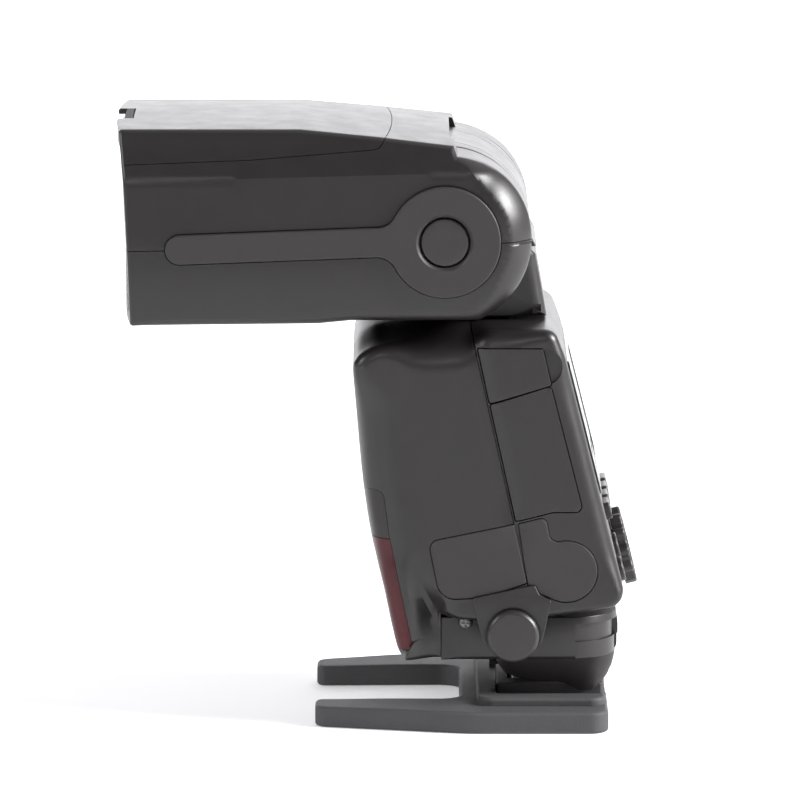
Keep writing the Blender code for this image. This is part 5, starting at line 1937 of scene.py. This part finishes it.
@dataclass
class HeadInside:
    """The reflector carriage, flash tube and zoom drive behind the lens."""

    axis_z: float = 121.0
    screw: Pair = (31.0, 107.0)

    def dish(self) -> bpy.types.Object:
        """The bright trough reflector."""
        made = bmesh.new()
        rings = []
        shares = [k / 14 for k in range(15)]
        for wall, order in ((0.0, shares), (0.6, shares[::-1][1:])):
            for share in order:
                half_y = 26.8 - 7.0 * share**1.5 - wall
                half_z = 18.0 * math.sqrt(max(0.0, 1 - share)) * 0.70 + 5.4 - wall
                x = -54.0 + 27.0 * share - wall
                line = rectangle(-half_y, half_y, -half_z, half_z, 1.6)
                rings.append([made.verts.new((x, y, self.axis_z + z)) for y, z in line])
        count = len(rings[0])
        for one, two in zip(rings, rings[1:] + rings[:1]):
            for k in range(count):
                after = (k + 1) % count
                made.faces.new((one[k], one[after], two[after], two[k]))
        made.faces.new(rings[14])
        made.faces.new(rings[15])
        bmesh.ops.recalc_face_normals(made, faces=made.faces)
        return as_object("trough_reflector", made)

    def build(self) -> None:
        """Builds and dresses the parts behind the lens."""
        issue(self.dish(), "mirror", "zoom_carriage", Slot.MIRROR, "reflector", angle=40)
        tube = [(0.0, -18.5), (1.2, -18.5), (2.0, -17.6), (2.0, 17.6), (1.2, 18.5), (0.0, 18.5)]
        glass = turned("flash_tube_glass", tube, Axis.Y, (-36.0, self.axis_z), 32)
        issue(glass, "tube", "zoom_carriage", Slot.TUBE, "flash_tube")
        nut = Slab(rectangle(28.0, 34.0, 103.5, 111.0, 0.6), -46.0, -42.0, 0.3, 0.3, axis=Axis.X).thing("drive_nut")
        carve(nut, Cut.TAKE, prism(circle(self.screw, 1.5, 32), Axis.X, -60, -30))
        issue(nut, "inner", "zoom_carriage", Slot.INNER, "carriage_nut")
        turn = Matrix.Rotation(math.radians(90), 4, "Y")
        core = turned("screw_core", [(0.0, -52.0), (0.95, -52.0), (0.95, -24.4), (0.0, -24.4)], Axis.X, self.screw, 24)
        thread = coil("screw_thread", "turned", (0.95, 0.95), 27.0, 13.5, 0.24, at(-51.8, *self.screw) @ turn)
        issue(joined("drive_screw", core, thread), "turned", "lead_screw", Slot.STEEL, "lead_screw")
        can = [(0.0, -24.0), (3.2, -24.0), (3.7, -23.5), (3.7, -10.5), (3.2, -10.0), (0.0, -10.0)]
        issue(turned("motor_can", can, Axis.X, self.screw, 48), "steel", "head", Slot.STEEL, "zoom_motor")
        rail = [(0.0, -53.0), (1.0, -53.0), (1.2, -52.8), (1.2, -10.2), (1.0, -10.0), (0.0, -10.0)]
        issue(turned("carriage_rail", rail, Axis.X, (-31.0, 107.0), 28), "turned", "head", Slot.STEEL, "guide_rod")


@dataclass
class BodyInside:
    """Cells, cage, capacitor and board inside the body."""

    cells: tuple[Pair, ...] = ((36.0, 61.0), (21.0, 61.0), (32.7, 76.0), (17.7, 76.0))
    near: float = -32.4
    far: float = 18.1

    def build(self) -> None:
        """Builds and dresses the parts inside the body."""
        corners = ((11.8, 52.6, 2), (44.4, 52.6, 2), (40.6, 84.4, 2), (8.6, 84.4, 2))
        cage = Slab(rounded(corners), self.near - 0.6, self.far + 2.2, 0.4, 0.4).thing("cell_cage")
        carve(cage, Cut.TAKE, *[rod(Axis.Y, cell, 7.4, -50, self.far + 0.4, 64) for cell in self.cells])
        issue(cage, "inner", "flash_body", Slot.INNER, "battery_cage")
        for index, cell in enumerate(self.cells, start=1):
            flip = index % 2 == 0
            profile = [(0.0, 0.0), (5.6, 0.0), (6.6, 0.2), (7.05, 0.8), (7.05, 48.0), (6.4, 48.8), (5.2, 49.1), (2.8, 49.1),
                       (2.7, 50.3), (2.2, 50.5), (0.0, 50.5)]
            rows = [(r, self.near + (t if flip else 50.5 - t)) for r, t in profile]
            skin = turned(f"cell_{index}", rows, Axis.Y, cell, 48)
            issue(skin, "sleeve", "flash_body", Slot.SLEEVE, f"battery_cell_{index}")
            middle = self.near + (31.0 if flip else 19.5)
            sleeve = [(0.0, middle - 9), (7.09, middle - 9), (7.09, middle + 9), (0.0, middle + 9)]
            band = turned(f"cell_band_{index}", sleeve,
                          Axis.Y, cell, 48)
            issue(band, "sleeve_band", "flash_body", Slot.SLEEVE)
        can = [(0.0, -20.0), (8.6, -20.0), (9.5, -19.2), (9.5, -16.4), (9.1, -15.9), (9.5, -15.4), (9.5, 30.2), (8.7, 31.0),
               (0.0, 31.0)]
        capacitor = turned("flash_capacitor", can, Axis.Y, (26.0, 41.4), 64)
        issue(capacitor, "sleeve", "flash_body", Slot.SLEEVE, "main_capacitor")
        sheet = rectangle(-30, 30, -3.0, 38.0, 1.5)
        board = Slab(sheet, -6.4, -4.8, 0.05, 0.05, axis=Axis.X).thing("control_board", REAR_FRAME)
        issue(board, "board", "flash_body", Slot.BOARD, "main_board")
        chip = Slab(rectangle(-3.0, 3.0, -3.0, 3.0, 0.3), -7.4, -6.3, 0.15, 0.05, axis=Axis.X).thing("board_chips")
        copies(chip, "inner", 5, step=(0, 10.5, 0), place=REAR_FRAME @ at(0, -21.0, 24.0))
        issue(chip, "inner", "flash_body", Slot.INNER)


# ---------------------------------------------------------------- studio


@dataclass
class Studio:
    """A white sweep, soft light and the camera."""

    surround: float = 1.0
    lens: float = 370.4
    stand_off: tuple[float, float, float] = (0.00555, -1.9755, 0.3869)
    look_down: float = 81.02

    def sweep(self) -> None:
        """The floor that curves up into a backdrop."""
        made = bmesh.new()
        profile = [(-3.0, 0.0), (1.6, 0.0)] + [(1.6 + 0.8 * math.sin(t), 0.8 - 0.8 * math.cos(t)) for t in
                                              [math.pi / 2 * k / 12 for k in range(1, 13)]] + [(2.4, 3.0)]
        rows = [[made.verts.new((x, y, z - 0.0001)) for y, z in profile] for x in (-4.0, 4.0)]
        for k in range(len(profile) - 1):
            made.faces.new((rows[0][k], rows[1][k], rows[1][k + 1], rows[0][k + 1]))
        mesh = bpy.data.meshes.new("sweep")
        made.to_mesh(mesh)
        made.free()
        mesh.shade_smooth()
        card = bpy.data.objects.new("sweep", mesh)
        bpy.context.scene.collection.objects.link(card)
        mesh.materials.append(paint("floor"))

    def lamp(self, name: str, place: tuple[float, float, float], size: float, power: float) -> None:
        """A square soft light aimed at the object."""
        data = bpy.data.lights.new(name, "AREA")
        data.size, data.energy = size, power
        thing = bpy.data.objects.new(name, data)
        thing.location = place
        thing.rotation_euler = (Vector((0, 0, 0.08)) - Vector(place)).to_track_quat("-Z", "Y").to_euler()
        bpy.context.scene.collection.objects.link(thing)

    def world(self) -> None:
        """A pale surround: bright behind the object, dim on the camera's side and overhead."""
        world = bpy.data.worlds.new("surround")
        world.use_nodes = True
        nodes, links = world.node_tree.nodes, world.node_tree.links
        where = nodes.new("ShaderNodeTexCoord")
        split = nodes.new("ShaderNodeSeparateXYZ")
        ramp = nodes.new("ShaderNodeValToRGB")
        rows = ((0.0, 0.27), (0.35, 0.3), (0.55, 0.46), (0.8, 0.9))
        for place, level in rows:
            stop = ramp.color_ramp.elements.new(place) if place else ramp.color_ramp.elements[0]
            stop.color = (level, level, level * 1.01, 1.0)
        ramp.color_ramp.elements[-1].color = (0.9, 0.9, 0.91, 1.0)
        remap = nodes.new("ShaderNodeMapRange")
        remap.inputs["From Min"].default_value = -1.0
        links.new(where.outputs["Generated"], split.inputs[0])
        links.new(split.outputs["Y"], remap.inputs["Value"])
        links.new(remap.outputs[0], ramp.inputs[0])
        links.new(ramp.outputs[0], nodes["Background"].inputs["Color"])
        nodes["Background"].inputs["Strength"].default_value = self.surround
        bpy.context.scene.world = world

    def camera(self) -> None:
        """A long lens a little above the object's middle, on the -Y side."""
        data = bpy.data.cameras.new("camera")
        data.lens, data.sensor_width = self.lens, 36.0
        data.clip_start, data.clip_end = 0.1, 20.0
        thing = bpy.data.objects.new("camera", data)
        thing.location = self.stand_off
        thing.rotation_euler = (math.radians(self.look_down), 0.0, 0.0)
        bpy.context.scene.collection.objects.link(thing)
        bpy.context.scene.camera = thing

    def build(self) -> None:
        """Sets up the stage."""
        self.sweep()
        self.world()
        self.lamp("front", (-0.28, -1.62, 1.12), 0.4, 3.4)
        self.lamp("left", (-1.5, -0.35, 1.1), 0.6, 14.0)
        self.lamp("low_left", (-1.15, -1.35, 0.3), 0.35, 3.0)
        self.lamp("right", (1.6, -0.3, 0.95), 0.6, 80.0)
        self.camera()
        bpy.context.scene.view_settings.view_transform = "Standard"


def main() -> None:
    """Builds every sub-assembly in order."""
    logging.basicConfig(level=logging.INFO, format="%(name)s %(message)s")
    Studio().build()
    for part in (Stand(), Pedestal(), Casing(), Neck(), Head(), HeadInside(), BodyInside()):
        log.info("building %s", type(part).__name__)
        part.build()


if __name__ == "__main__":
    main()
